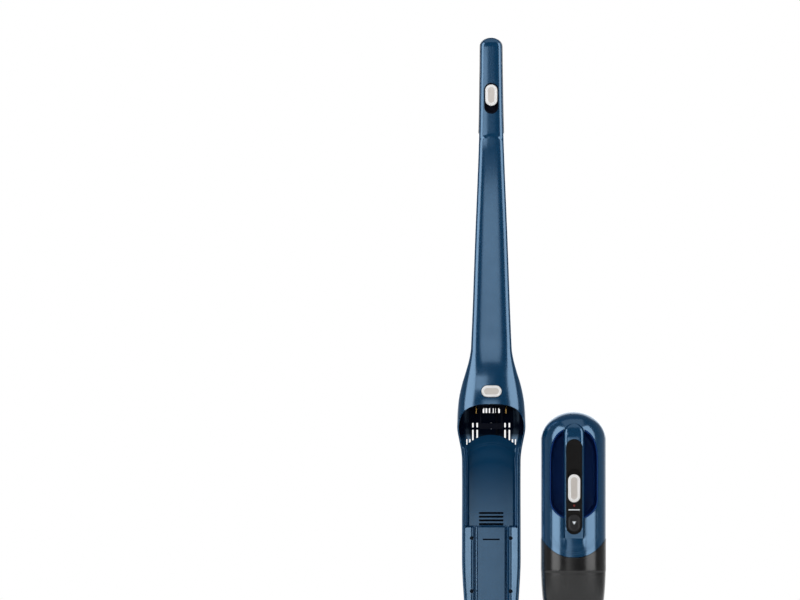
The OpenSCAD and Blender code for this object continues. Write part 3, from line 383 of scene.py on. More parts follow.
def material(name, base, rough, vary, grain, grain_size, coat=0.0, spec=0.5, metal=0.0, scuff=0.25,
             stretch=None, **sockets):
    """Moulded surface: two tones in soft clouds, fine grain in the bump, rubbed patches in the roughness."""
    m = bpy.data.materials.new(name)
    m.use_nodes = True
    nt = m.node_tree
    vector = shader(nt, "ShaderNodeTexCoord").outputs["Object"]
    if stretch:
        vector = shader(nt, "ShaderNodeMapping", {"Vector": vector, "Scale": stretch}).outputs["Vector"]

    def noise(scale, detail):
        values = {"Vector": vector, "Scale": scale, "Detail": detail}
        return shader(nt, "ShaderNodeTexNoise", values).outputs["Fac"]

    dark, light = ([min(1, c*k) for c in base[:3]] + [1] for k in (1 - vary, 1 + vary))
    mix = shader(nt, "ShaderNodeMix", {"Factor": noise(14, 4), "A": dark, "B": light}, data_type="RGBA")
    rub = shader(nt, "ShaderNodeMapRange", {"Value": noise(55, 6), "From Min": 0.3, "From Max": 0.72,
                                            "To Min": rough*(1 - scuff), "To Max": rough*(1 + scuff)})
    bump = shader(nt, "ShaderNodeBump", {"Height": noise(1/(grain_size*MM), 2), "Strength": grain,
                                         "Distance": grain_size*MM*0.25})
    coated = {"Coat Weight": coat, "Coat Roughness": 0.12} if coat else {}
    fill(nt, nt.nodes["Principled BSDF"], {
        "Base Color": mix.outputs["Result"], "Roughness": rub.outputs["Result"], "Normal": bump.outputs["Normal"],
        "Metallic": metal, "Specular IOR Level": spec, **coated,
        **{k.replace("_", " "): v for k, v in sockets.items()}})
    return m


SHEEN = (0.45, 0.71, 1.0, 1)
# colour on screen, roughness, share that the two tones differ by, depth and size of the grain, other settings
FINISHES = {
    "blue_plastic": ((6, 53, 86), 0.17, 0.04, 0.04, 0.6, dict(spec=1.0, scuff=0.10, IOR=1.9, Specular_Tint=SHEEN)),
    "navy_plastic": ((0, 44, 112), 0.42, 0.06, 0.12, 0.5, dict(scuff=0.1, Specular_Tint=SHEEN)),
    "black_plastic": ((27, 27, 29), 0.38, 0.12, 0.35, 0.45, dict(spec=0.4)),
    "soft_black": ((20, 19, 19), 0.62, 0.10, 0.45, 0.5, dict(spec=0.12)),
    "silver_plastic": ((228, 227, 226), 0.30, 0.03, 0.12, 0.3, dict(coat=0.3)),
    "pearl_centre": ((196, 190, 184), 0.42, 0.05, 0.3, 0.6, dict(spec=0.4)),
    "steel": ((190, 192, 196), 0.28, 0.05, 0.2, 0.2, dict(metal=1.0, stretch=(1, 1, 14))),
    "brass": ((201, 160, 92), 0.25, 0.08, 0.15, 0.2, dict(metal=1.0)),
    "rubber": ((30, 30, 31), 0.72, 0.15, 0.5, 0.6, dict(spec=0.3)),
    "bristle": ((16, 34, 74), 0.6, 0.25, 0.4, 0.5, dict(spec=0.3)),
    "board": ((28, 92, 58), 0.45, 0.15, 0.3, 0.8, {}),
    "cell_sleeve": ((46, 120, 84), 0.32, 0.06, 0.1, 0.6, dict(coat=0.3)),
    "filter_paper": ((226, 222, 210), 0.85, 0.08, 0.7, 0.5, dict(spec=0.2)),
    "foam": ((46, 46, 48), 0.95, 0.25, 1.0, 1.2, dict(spec=0.1)),
    "lamp_red": ((120, 30, 26), 0.3, 0.06, 0.1, 0.3, dict(coat=0.4)),
    "steel_dark": ((36, 42, 52), 0.42, 0.08, 0.2, 0.2, dict(metal=1.0)),
    # near-black painted shade, for parts in the hood's shadow, the switch's recess and the plates behind the tray's
    # openings
    "painted_shade_dark": ((3, 6, 20), 0.7, 0.2, 0.3, 0.5, dict(spec=0.1)),
    "white_print": ((214, 220, 226), 0.45, 0.04, 0.2, 0.3, {}),
    "smoke_plastic": ((20, 20, 21), 0.24, 0.06, 0.08, 0.5,
                      dict(spec=0.7, scuff=0.12, Transmission_Weight=0.3, IOR=1.58)),
}
M = {n: material(n, colour(*rgb), *values, **more) for n, (rgb, *values, more) in FINISHES.items()}


def blue_with_painted_shade(name, z0, z1, gloss, shade_colour=None):
    """Blue like the outside, with painted shade from z0 to z1 for the hood's shadow: the reflection level falls to
    gloss, and where a dark colour is given the base colour turns to it.
    """
    m = M["blue_plastic"].copy()
    m.name = name
    nt = m.node_tree
    b = nt.nodes["Principled BSDF"]
    where = shader(nt, "ShaderNodeTexCoord").outputs["Object"]
    z = shader(nt, "ShaderNodeSeparateXYZ", {"Vector": where}).outputs["Z"]
    up = shader(nt, "ShaderNodeMapRange", {"Value": z, "From Min": z0*MM, "From Max": z1*MM}).outputs["Result"]
    if shade_colour:
        blue = b.inputs["Base Color"].links[0].from_socket
        over = shader(nt, "ShaderNodeMix", {"Factor": up, "A": blue, "B": shade_colour}, data_type="RGBA")
        fill(nt, b, {"Base Color": over.outputs["Result"]})
    level = shader(nt, "ShaderNodeMapRange", {"Value": up, "To Min": 1.0, "To Max": gloss})
    fill(nt, b, {"Specular IOR Level": level.outputs["Result"]})
    return m


# Inside of the back shell: painted shade up in the hood, turning near-black with little reflection
M["shell_inside_painted_shade"] = blue_with_painted_shade("shell_inside_painted_shade", dome_low - 8, dome_low + 8, 0.06, colour(2, 7, 24))


# ---- Outlines on the flat (x, z) ----
def pill(w, h, cx=0, cz=0, step=1.0):
    """Outline of a pill that lies (w > h) or stands."""
    r = min(w, h)/2
    n = max(12, int(math.pi*r/step))
    a = np.linspace(-math.pi/2, math.pi/2, n + 1)
    a = a if w > h else a + math.pi/2
    half = np.stack([r*np.cos(a) + max(w/2 - r, 0), r*np.sin(a) + max(h/2 - r, 0)], 1)
    return dense(np.concatenate([half, -half]) + [cx, cz], step)


def disc(d, cx, cz, step):
    return pill(d, d + 0.0001, cx, cz, step)


def rect(x0, z0, x1, z1, step):
    return dense([[x0, z0], [x1, z0], [x1, z1], [x0, z1]], step)


def slit(x, z, h, half):
    """Upright slot of height h over z."""
    return rect(x - half, z, x + half, z + h, half)


def well_outline(g):
    """The finger recess with a margin g: rounder above than below, straight between."""
    a = np.linspace(-math.pi/2, math.pi/2, 110)
    s, c = unit(a, 2.6)
    up = np.stack([(well_w/2 + g)*s, well_z + 0.11*well_h + (0.39*well_h + g)*c], 1)
    s, c = np.sin(a[::-1]), np.cos(a[::-1])
    low = np.stack([(well_w/2 + g)*s, well_z - 0.28*well_h - (0.22*well_h + g)*c], 1)
    return dense(np.concatenate([up, low]), 3.0)


def turned_x(a):
    c, s = math.cos(a), math.sin(a)
    return [[1, 0, 0], [0, c, -s], [0, s, c]]


# ---- Stick shells ----
U = 60  # a shell laid flat reaches this far each side, for a quarter turn
K = U/(math.pi/2)
FRONT_N, BACK_N, HAND_N = 2.6, 3, 2.4  # how square each shell's section is, 2 being an ellipse
crease_z = grip_z - 2


def squareness(z, n):
    """The handle's front is squarer than the shoulder's."""
    return n + 1.4*smooth((z - arch_z - 45)/50) if n == FRONT_N else n


def stick_place(side, n, widen=0.0, shift=0.0):
    """Surface of the stick's front (side -1) or back (1), with the crease below the grip in front."""
    pts = front_pts if side < 0 else back_pts

    def place(u, v):
        z, k = capped(v)
        s, c = unit(u/K, squareness(z, n))
        crease = 0.9*smooth((crease_z - 9*s*s - z)/2.5)*smooth((z - crease_z + 160)/150) if side < 0 else 0
        return (curve(stick_w_pts, z)*k + widen*k)*s, split_y + shift + lean(z) + side*(curve(pts, z)*k*c + crease*c), z
    return place


def on_stick(poly, n):
    """Outline in (x, z) as places on the stick laid flat."""
    x, z = poly[:, 0], poly[:, 1]
    v = cap_place(z)
    zz, k = capped(v)
    s = np.clip(x/(curve(stick_w_pts, zz)*k), -0.9999, 0.9999)
    n = squareness(zz, n)
    return np.stack([np.arctan2(s, (1 - np.abs(s)**n)**(1/n))*K, v], 1)


def flat_outline(low, z0, z1, n_low, n_high):
    """Outline of a half shell laid flat, from the curve low(u), which ends at z0, up to z1."""
    u = np.linspace(-U, U, n_low)
    zs = np.arange(z0 + 3, z1, 3.0)
    right = np.stack([np.full(len(zs), float(U)), zs], 1)
    top = np.stack([np.linspace(U, -U, n_high), np.full(n_high, z1)], 1)
    return np.concatenate([np.stack([u, low(u)], 1), right, top, (right*[-1, 1])[::-1]])


# Front of the handle and shoulder, with the arch over the dock
arch_low = dome_low + 14


def arch(u):
    """Edge of the shoulder over the dock."""
    z = np.full_like(u, arch_z)
    for _ in range(12):
        s, c = unit(u/K, FRONT_N)
        z = arch_low + curve(front_pts, z)*c/32*(arch_z - arch_low)
    return z


v_top = top_z - cap_h + cap_h*math.pi/2
switch_z = top_z - 95
release_z = arch_z + 20
# opening of the handle switch: its outline lies on the leaning front
hole = pill(23, 50, 0, -5, 1.0)
yl = np.full(len(hole), -18.5)
for _ in range(6):
    z = switch_z - yl*math.sin(lean_angle) + hole[:, 1]*math.cos(lean_angle)
    s = np.clip(hole[:, 0]/curve(stick_w_pts, z), -1, 1)
    y = split_y + lean(z) - curve(front_pts, z)*(1 - np.abs(s)**4)**(1/4)
    yl = ((y - lean(switch_z)) - hole[:, 1]*math.sin(lean_angle))/math.cos(lean_angle)
switch_hole = on_stick(np.stack([hole[:, 0], z], 1), FRONT_N)
release_hole = on_stick(pill(33.4, 20.0, 0, release_z), FRONT_N)
solid("handle_front", "handle_front_shell",
      sheet(flat_outline(arch, arch(np.array([float(U)]))[0], v_top, 90, 24), [switch_hole, release_hole],
            stick_place(-1, FRONT_N), 2.6),
      M["blue_plastic"], wall, 0.5, out=(0, 60, 800))

# Back shell of the stick
low_v = swivel_z + 10
holes = [on_stick(slit(x, arch_z - 15.4, 7.5, 1.3), BACK_N) for x in (-12.2, -7.6, -2.4, 2.8, 8, 12.8)]
for s in (-1, 1):
    for x, z0, h in ((22.5, 18, 7), (29.5, 18, 7), (22.5, -3, 17), (29.5, -3, 17), (34.5, -15, 14), (39.5, -15, 14)):
        holes.append(on_stick(slit(s*x, dome_low + z0, h, 1.3), BACK_N))
panel_top = dome_low - 141
vents = [rect(-19.5, panel_top + 2.6 + 5.9*i, 19.5, panel_top + 5.8 + 5.9*i, 1.5) for i in range(4)]
holes.append(on_stick(disc(10.2, 0, arch_z + 40, 1.0), BACK_N))
solid("back_shell", "cradle_back_shell",
      sheet(rect(-U, low_v, U, grip_z, 2.6), holes, stick_place(1, BACK_N), 2.6, rings=()),
      M["blue_plastic"], wall, 0.5, out=(0, -60, 500), inner=M["shell_inside_painted_shade"])

# Soft back of the grip
solid("grip_soft_back", "grip_back",
      sheet(rect(-U, grip_z + 0.3, U, v_top, 2.6), [],
            stick_place(1, 2.8, 0.9, 0.1), 2.6), M["soft_black"], wall, 0.6, out=(0, -60, 1080))

# Tray of the cradle
tray_low, tray_top = mouth_z + 42, dome_low + 6
pad_edge = 31.5


def tray_edge(x, d):
    return tray_top - d - 24*(np.abs(x)/cr)**2.2


def tray_y_at(x, z):
    """Surface of the tray: a scooped floor, and below panel_top a panel between two pads that slope outwards."""
    ax = np.abs(x)
    rim = smooth((z - tray_edge(x, 14) + 1.2)/2.4)
    low = 1 - smooth((z - panel_top + 1)/2.0)
    floor = tray_y + 3.5 + 2.0*rim
    scoop = smooth((z - tray_edge(x, 46))/30)*1.2*(1 - rim)
    panel = (1 - smooth((ax - 21.7)/1.6))*3.5
    pads = smooth((ax - (cr - 20.6))/1.8)*6.5
    outwards = smooth(ax - pad_edge)*np.maximum(ax - pad_edge, 0)*0.33
    groove = np.exp(-((ax - cr + 7.6)/1.5)**2)*2.6*(1 - low)*smooth((tray_edge(x, 16) - z)/8)
    return floor + scoop + groove - low*(np.maximum(panel, pads) + outwards)


def tray_half(z):
    """Half width of the tray, which lies inside the back shell."""
    w = curve(stick_w_pts, z) - wall - 0.3
    b = curve(back_pts, z) - wall - 0.3
    y = np.where(z < panel_top, tray_y - 1.0, tray_y + 4.5) - split_y
    return np.minimum(w*(1 - (y/b)**3)**(1/3), cr - 4.9)


zz = np.linspace(tray_low, tray_edge(38.0, 0), 60)
right = np.stack([tray_half(zz), zz], 1)
xs = np.linspace(right[-1, 0], -right[-1, 0], 46)[1:-1]
tray_line = np.concatenate([right, np.stack([xs, tray_edge(xs, 0)], 1), (right*[-1, 1])[::-1],
                            np.stack([np.linspace(-right[0, 0], right[0, 0], 30)[1:-1], np.full(28, tray_low)], 1)])
cuts = vents + [rect(-13.5, panel_top - 21.4, 13.5, panel_top - 19, 1.5)]
screw_x = cr - 15.9
screw_at = [(s*screw_x, z) for s in (-1, 1) for z in (panel_top - 18, panel_top - 103)]
cuts += [disc(6.6, x, z, 0.8) for x, z in screw_at]
# The tray reflects less towards its top: painted shade from the hood above it
M["tray_painted_shade"] = blue_with_painted_shade("tray_painted_shade", panel_top - 4, dome_low - 30, 0.12)
solid("tray", "cradle_tray", sheet(tray_line, cuts, lambda x, z: (x, tray_y_at(x, z), z), 1.5, rings=()),
      M["tray_painted_shade"], 2.2, 0.35, out=(0, 400, 350))


def plate(line, depth, step):
    """Flat plate behind an opening of the tray."""
    return sheet(line, [], lambda x, z: (x, 0*x + tray_y + depth, z), step)


# Plates behind the tray's openings, in the near-black painted shade, so the openings look shadowed
back_plates = [plate(rect(-14.5, panel_top - 22.6, 14.5, panel_top - 17.8, 2), 1.7, 2)]
back_plates += [plate(disc(7.4, x, z, 0.8), 1.2, 1.5) for x, z in screw_at]
back_plates.append(plate(rect(-20.5, panel_top + 1.6, 20.5, panel_top + 24.6, 3), 7.4, 6))
extra_piece("shade_plates_behind_tray", "cradle_tray", joined(*back_plates), M["painted_shade_dark"], 0)

# Lower front of the stick with its duct: skin, slanted face and bore
slope = mouth_z + 22.8


def duct_ring(z, u):
    """Skin of the duct all round: the front section, and a smaller one inside the back shell."""
    a = u/K
    front = np.abs(a) < math.pi/2
    s1, c1 = unit(a, FRONT_N)
    s2, c2 = unit(a, BACK_N)
    w, f, b = curve(stick_w_pts, z), curve(front_pts, z), curve(back_pts, z)
    x = np.where(front, w*s1, (w - 2.7)*s2)
    return x, split_y + np.where(front, -f*c1, -(b - 2.7)*c2)


us = np.linspace(-2*U, 2*U, 121)[:-1]
rows = []
for t in np.concatenate([[0], np.linspace(0.01, 1, 36)]):
    x, y = duct_ring(np.full_like(us, low_v), us)
    for _ in range(6):
        z = low_v + (y + slope - low_v)*t
        x, y = duct_ring(z, us)
    rows.append(np.stack([x, y, z], 1))
bore = []
for v in np.linspace(0, 1, 24):
    ring = []
    for q in np.linspace(0, 2*math.pi, 64, endpoint=False):
        z = low_v
        for _ in range(8):
            # round at the swivel, wide and further forward at the mouth
            k = float(smooth((z - swivel_z - 14)/34))
            y = duct_y*k + (14.5 - 2*k)*math.sin(q)
            z = low_v + (y + slope - low_v)*v
        ring.append([(14.5 + 13.5*k)*math.cos(q), y, z])
    bore.append(ring)
lid = sheet(rows[-1][:, :2], [np.array(bore[-1])[:, :2]], lambda x, y: (x, y, y + slope), 3.0)
foot = sheet(rows[0][:, :2], [np.array(bore[0])[:, :2]], lambda x, y: (x, y, 0*x + low_v), 3.0)
solid("lower_front", "lower_duct", joined(grid(rows, True), grid(bore, True), lid, foot),
      M["black_plastic"], 0, 0.5, merge=0.05)

# ---- Floor head ----
head_lo, head_hi = lo("head_top_shell"), hi("head_top_shell")
head_w, head_d = head_hi[0] - head_lo[0], head_hi[1] - head_lo[1]
head_y = (head_lo[1] + head_hi[1])/2
head_h = head_hi[2]
roll_y, roll_z = head_y - head_d/2 + 30, 25
prof = np.array([[head_lo[2], 0], [22, 0], [32, 0.1], [38, 0.9], [43, 2.8], [47.5, 5.6], [head_h - 7, 10],
                 [head_h - 4, 15.5], [head_h - 2, 24], [head_h - 0.7, 33], [head_h - 0.2, 42], [head_h, 64]], float)
arc = np.concatenate([[0], np.cumsum(np.hypot(*np.diff(prof, axis=0).T))])
total = arc[-1]
HEAD_N = 5  # how square the head's outline is
lock_r = 11.6


def head_place(p, q):
    """The cover from its rim (at total from the middle of the flat) up to its top."""
    r = np.maximum((np.abs(p)**HEAD_N + np.abs(q)**HEAD_N)**(1/HEAD_N), 1e-6)
    s = np.clip(total - r, 0, total)
    z = curve(np.stack([arc, prof[:, 0]], 1), s)
    i = curve(np.stack([arc, prof[:, 1]], 1), s)
    k = np.clip(r/(total - arc[-2]), 0, 1)
    a = np.where(s > arc[-2], (head_w/2 - prof[-2, 1])*k, head_w/2 - i)
    b = np.where(s > arc[-2], (head_d/2 - prof[-2, 1]*0.8)*k, head_d/2 - i*0.8)
    return p/r*a, head_y + q/r*b, z


# the cover's outline leaves a slot for the neck, open at the back
slot_x, slot_end = 24.6, -3.0
side_r = []
for r in total - np.linspace(0, total - 1.0, 60):
    px = slot_x/head_place(np.array([r]), np.array([0.0]))[0][0]*r
    if px >= r*0.999:
        break
    side_r.append([px, (r**HEAD_N - px**HEAD_N)**(1/HEAD_N)])
side_r = [p for p in side_r if p[1] > slot_end]
side_r.append([side_r[-1][0]*0.98, slot_end])
side_l = [[-x, y] for x, y in side_r]
a0 = math.atan2(side_r[0][0], side_r[0][1])
ang = np.linspace(a0, 2*math.pi - a0, 260)
s5, c5 = unit(ang, HEAD_N)
cover_line = np.concatenate([np.stack([s5*total, c5*total], 1), np.array(side_l[1:]), np.array(side_r[:0:-1])])
# opening of the roll's lock, in the right end
ca = np.linspace(0, 2*math.pi, 40, endpoint=False)
hy, hz = roll_y + lock_r*np.cos(ca), roll_z + lock_r*np.sin(ca)
hs = np.interp(hz, prof[:, 0], arc)
hr = total - hs
hq = np.clip((hy - head_y)/(head_d/2 - np.interp(hs, arc, prof[:, 1])*0.8), -0.999, 0.999)
hole = np.stack([hr*(1 - np.abs(hq)**HEAD_N)**(1/HEAD_N), hr*hq], 1)
pts, faces = sheet(cover_line, [hole], head_place, 3.0, rings=())
at_slot = (np.abs(pts[:, 0]) < slot_x + 0.5) & (pts[:, 1] > -24) & (pts[:, 2] > head_h - 3)
pts[at_slot, 1] = np.minimum(pts[at_slot, 1], -21)
solid("head_cover", "head_top_shell", (pts, faces), M["blue_plastic"], wall, 0.6, out=(0, head_y, 0))

# Bumper strip
ang = np.linspace(-math.pi/2, math.pi/2, 121)
s5, c5 = unit(ang, HEAD_N)
bump = [np.stack([(head_w/2 + w)*s5, head_y - (head_d/2 + w)*c5, np.full_like(s5, z)], 1)
        for z, w in ((12, 0.2), (12.2, 1.2), (13, 1.9), (14.2, 2.1), (16, 2.2), (17.8, 2.1), (19, 1.9),
                     (19.8, 1.2), (20, 0.2), (16, 0.15), (12, 0.2))]
pts, faces = grid(bump)


def over_lock(face):
    """Whether a face of the strip lies over the roll's lock."""
    x, y, z = pts[list(face)].mean(0)
    return x > 100 and np.hypot(y - roll_y, z - roll_z) < lock_r + 1


solid("bumper", "head_bumper", (pts, [f for f in faces if not over_lock(f)]), M["rubber"], 0, 0)

# Bristles: rows of tufts along two helices
rng = np.random.default_rng(7)
roll_len, tufts = head_w - 62, 74
tufts_v, tufts_f = [], []
for start in (0, math.pi):
    for i in range(tufts):
        x = -roll_len/2 + 6 + (roll_len - 12)*i/(tufts - 1)
        a = start + math.radians(400)*(x + roll_len/2 - 4)/(roll_len - 8)
        for _ in range(7):
            dx, da = rng.normal(0, 0.7), rng.normal(0, 0.055)
            reach = min(13.9 + (5.9 + rng.normal(0, 0.25)), 20.4)
            base = len(tufts_v)
            # square foot and tip: (place along the roll, angle, distance from its axis, half width)
            for tx, ta, r, h in ((x + dx, a + da, 13.6, 0.28), (x + dx*1.7, a + da*1.9, reach, 0.14)):
                for q in (0, math.pi/2, math.pi, 1.5*math.pi):
                    around = ta + h*math.sin(q)/r
                    tufts_v.append([tx + h*math.cos(q), roll_y + r*math.cos(around), roll_z + r*math.sin(around)])
            for k in range(4):
                tufts_f.append((base + k, base + (k + 1) % 4, base + 4 + (k + 1) % 4, base + 4 + k))
            tufts_f.append((base + 4, base + 5, base + 6, base + 7))
solid("bristle_tufts", "brush_bristles", (np.array(tufts_v), tufts_f), M["bristle"], 0, 0, merge=0.0005)

# ---- Handheld unit ----
def hand_place(side, gap=0.0):
    """Surface of the handheld unit's front (side -1) or back (1), gap outside the nominal one."""
    def place(u, v):
        z, k = domed(v)
        s, c = unit(u/K, HAND_N)
        f = curve(hand_front_pts, z)
        x = curve(hand_w_pts, z)*k*s
        # below the bridge the casing carries its line on
        foot = smooth((bridge_w/2 + 0.4 - np.abs(x))/0.9)*smooth((z - bridge_low + 21)/16)*(z < bridge_low + 3)
        foot = 0.6*foot if side < 0 else 0
        return aside + x, -eject + side*(gap + foot) + (hh_back + f)/2 + side*(hh_back - f)/2*k*c, z
    return place


def on_hand(poly):
    x, z = poly[:, 0], poly[:, 1]
    v = dome_place(z)
    zz, k = domed(v)
    s = np.clip(x/(curve(hand_w_pts, zz)*k), -0.9999, 0.9999)
    return np.stack([np.arctan2(s, (1 - np.abs(s)**HAND_N)**(1/HAND_N))*K, v], 1)


DIP_N = 2.4  # how flat the seam's dip is in the middle


def seam_z(x):
    """Height of the seam between casing and bin, which dips in the middle."""
    return bin_z - bin_dip + bin_dip*x**DIP_N


def dip_line(u):
    z = np.full_like(u, bin_z)
    for _ in range(8):
        z = seam_z(np.abs(curve(hand_w_pts, z)*unit(u/K, HAND_N)[0])/(hh_w/2))
    return z


casing_line = flat_outline(dip_line, bin_z, dome_low + dome_h*math.pi/2, 80, 20)
# opening for the recess and the bridge
half_b = bridge_w/2 + 0.15
r_top = 13.5  # radius of the bridge's upper end
sides = well_outline(0.3)
sides = sides[np.abs(sides[:, 0]) >= half_b]
sides = sides[np.argsort(sides[:, 1])]
left_side, right_side = sides[sides[:, 0] < 0], sides[sides[:, 0] > 0][::-1]
a = np.linspace(math.pi, 0, 36)
top_cap = np.stack([half_b*np.cos(a), bridge_top + 0.1 - r_top + r_top*np.sin(a)], 1)
foot_line = np.array([[half_b, bridge_low - 0.1], [-half_b, bridge_low - 0.1]])
hole = dense(np.concatenate([top_cap, right_side, foot_line, left_side]), 1.4)
solid("front_casing", "casing_front",
      sheet(casing_line, [on_hand(hole)], hand_place(-1, gap=0.15), 2.2, rings=(0.8,)),
      M["blue_plastic"], wall, 0.55, out=(aside, 60, 450))

holes = [on_hand(slit(s*x, dome_low + 4, 20, 1.2)) for s in (-1, 1) for x in (16, 21, 26, 31)]
holes += [on_hand(disc(6.4, s*24, z, 0.8)) for s in (-1, 1) for z in (dome_low - 30, bin_z + 22)]
solid("back_casing", "casing_back", sheet(casing_line, holes, hand_place(1, gap=0.15), 2.2, rings=()),
      M["blue_plastic"], wall, 0.55, out=(aside, -120, 450))

# Recess for the fingers: a bowl with a rounded floor
well_floor = hh_mid + 0.5
wl = well_outline(-0.2) - [0, well_z]
wl_a = np.arctan2(wl[:, 0], wl[:, 1])
wl_r = np.hypot(wl[:, 0], wl[:, 1])[np.argsort(wl_a)]
wl_a = np.sort(wl_a)
FLOOR_R, FLOOR_K = 0.62, 0.90  # the floor's share of the flat disc, and of the recess


def well_place(p, q):
    a = np.arctan2(p, q)
    reach = np.interp(a, wl_a, wl_r, period=2*math.pi)
    rho = np.clip(np.hypot(p, q)/U, 0, 1)
    # the outer part climbs the wall, the inner part is the floor
    t = np.clip((rho - FLOOR_R)/(1 - FLOOR_R), 0, 1)
    k = np.where(rho < FLOOR_R, rho/FLOOR_R*FLOOR_K, FLOOR_K + (1 - FLOOR_K)*np.clip(t*1.6, 0, 1)**0.6)
    x, z = reach*np.sin(a)*k, well_z + reach*np.cos(a)*k
    z2, kd = domed(dome_place(z))
    w = curve(hand_w_pts, z2)*kd
    f = curve(hand_front_pts, z2)
    skin = (hh_back + f)/2 - (hh_back - f)/2*kd*np.maximum(1 - (np.abs(x)/w)**HAND_N, 0)**(1/HAND_N)
    rise = np.where(rho < FLOOR_R, 0.10*(rho/FLOOR_R)**4, 0.10 + 0.90*t**1.15)
    return aside + x, -eject + well_floor + (skin + 1.2 - well_floor)*rise, z


a = np.linspace(0, 2*math.pi, 200, endpoint=False)
solid("finger_well", "hand_well", sheet(np.stack([U*np.sin(a), U*np.cos(a)], 1), [], well_place, 2.0),
      M["navy_plastic"], 1.8, 0, out=(aside, -200, 450))


# Bridge over the recess
round_z = bridge_top - r_top


def bridge_half(z):
    """Half width of the bridge, whose upper end is rounded."""
    t = np.clip((z - round_z)/r_top, 0, 1)
    return bridge_w/2*np.sqrt(np.maximum(1 - t*t, 0.0))


def proud_y(z):
    """Front of the bridge at height z."""
    p = np.array(bridge_pts)
    return face_y(z) - np.interp(z, p[:, 0], p[:, 1])


# section of the bridge from its middle round to the back: (distance from the middle, depth)
half_section = np.array([(0, 0), (3, 0), (6, 0), (9, 0.02), (11, 0.1), (12.4, 0.45), (13.8, 1.2), (15, 2.5),
                         (15.7, 4.0), (16, 6.0), (16, 10), (16, 14), (16, 17), (15.4, 18.6), (14, 19.6), (10, 20.0),
                         (5, 20.0), (0, 20.0)])
u_len = np.concatenate([[0], np.cumsum(np.hypot(*np.diff(half_section, axis=0).T))])
u_half = u_len[-1]


def bridge_place(u, v):
    z = np.where(v > round_z, round_z + r_top*np.sin(np.clip((v - round_z)/r_top, 0, math.pi/2)), v)
    w = np.maximum(bridge_half(z), 0.3)
    au = np.abs(u)
    px = np.interp(au, u_len, half_section[:, 0]/(bridge_w/2))
    py = np.interp(au, u_len, half_section[:, 1])
    front = proud_y(z)
    # behind its rounded edge the section is as deep as there is room for
    room = np.maximum(bridge_back - front, 4)
    py = np.minimum(py*np.where(py > 6, room/20, 1.0), room)
    return aside + np.sign(u)*px*w, -eject + front + py, z


def on_bridge(poly):
    x, z = poly[:, 0], poly[:, 1]
    w = np.maximum(bridge_half(z), 0.3)
    au = np.interp(np.clip(np.abs(x)/w, 0, 0.999), half_section[:9, 0]/(bridge_w/2), u_len[:9])
    top = r_top*np.arcsin(np.clip((z - bridge_top + r_top)/r_top, 0, 1))
    v = np.where(z > round_z, round_z + top, z)
    return np.stack([np.sign(x)*au, v], 1)


v_end = round_z + r_top*math.pi/2*0.985
insert_line = pill(insert_w + 0.3, insert_len + 0.3, 0, insert_z)
solid("bridge", "bridge_cover",
      sheet(rect(-u_half, bridge_low, u_half, v_end, 1.8), [on_bridge(insert_line)], bridge_place, 1.8),
      M["blue_plastic"], 1.2, 0.35, merge=0.06, out=(aside, hh_mid - eject - 41, 430), even=False)


# Insert of the bridge, with its openings
crown = 0.0012  # its face curves back by this times x squared


def insert_place(x, z):
    """The insert's surface, with a radius round its edge."""
    r = 1.6
    dz = np.maximum(np.abs(z - insert_z) - insert_len/2 + insert_w/2, 0)
    d = insert_w/2 - np.hypot(x, dz)
    edge = np.where(d < r, r - np.sqrt(np.maximum(r**2 - (r - np.clip(d, 0, r))**2, 0)), 0)
    return aside + x, -eject + proud_y(z) - 0.9 + edge + crown*x*x, z


insert_holes = [pill(21, 53.6, 0, power_z + 4, 0.8), pill(21, 28, 0, button_z, 0.8), disc(3.3, 0, power_z - 27.3, 0.5)]
solid("insert", "grip_insert",
      sheet(pill(insert_w, insert_len, 0, insert_z, 0.9), insert_holes, insert_place, 1.3, rings=()),
      M["soft_black"], 2.6, 0.35, out=(aside, 100, 430))
extra_piece("insert_floor", "grip_insert",
            sheet(pill(22, 54.6, 0, power_z + 4), [], lambda x, z: (aside + x, -eject + proud_y(z) + 2.2, z), 2.0),
            M["soft_black"], 0)


def pad(w, h, cx, cz, y, rings, seg=56):
    """Raised pill: rings at (distance in from its outline, place before or behind y)."""
    r = min(w, h)/2
    a = np.linspace(0, 2*math.pi, seg, endpoint=False)
    c, s = np.cos(a), np.sin(a)
    mx, mz = np.where(c >= 0, 1, -1)*max(w/2 - r, 0), np.where(s >= 0, 1, -1)*max(h/2 - r, 0)
    pts, faces = grid([np.stack([cx + mx + max(r - d, 0)*c, np.full(seg, float(y + dy)), cz + mz + max(r - d, 0)*s], 1)
                       for d, dy in rings], True)
    last = (len(rings) - 1)*seg
    return pts, faces + [tuple(range(last, last + seg)), tuple(range(seg - 1, -1, -1))]


def pill_depth(x, z, w, h):
    """Distance in from a pill's outline."""
    r = min(w, h)/2
    return r - math.hypot(max(abs(x) - max(w/2 - r, 0), 0), max(abs(z) - max(h/2 - r, 0), 0))


def pearl(o, test):
    """Pearl centre of a silver button, on the faces whose middle passes the test."""
    o.data.materials.append(M["pearl_centre"])
    for p in o.data.polygons:
        if test(p.center/MM):
            p.material_index = 1


f = hh_front - eject
slide_w, power_h, switch_h = 19.4, 44.6, 34.4
o = solid("power_slide", "power_switch",
          pad(slide_w, power_h, aside, power_z, f, ((0, -2.0), (0, -4.6), (0.35, -5.5), (1.1, -6.0), (2.4, -6.2),
                                              (3.7, -6.15), (4.5, -5.7), (5.0, -5.55), (7.5, -5.5), (9.0, -5.5))),
          M["silver_plastic"], 0, 0, out=(aside, 60, power_z))
pearl(o, lambda c: c.y < f - 4 and pill_depth(c.x - aside, c.z - power_z, slide_w, power_h) > 4.3)
# fine ribs across the slide's middle
ribs = [pad(7.6, 0.9, aside, power_z + i*2.2, f, ((0, -5.3), (0, -5.75), (0.2, -5.95), (0.42, -6.0)), 20)
        for i in range(-6, 7)]
extra_piece("power_ribs", "power_switch", joined(*ribs), M["pearl_centre"], 0)

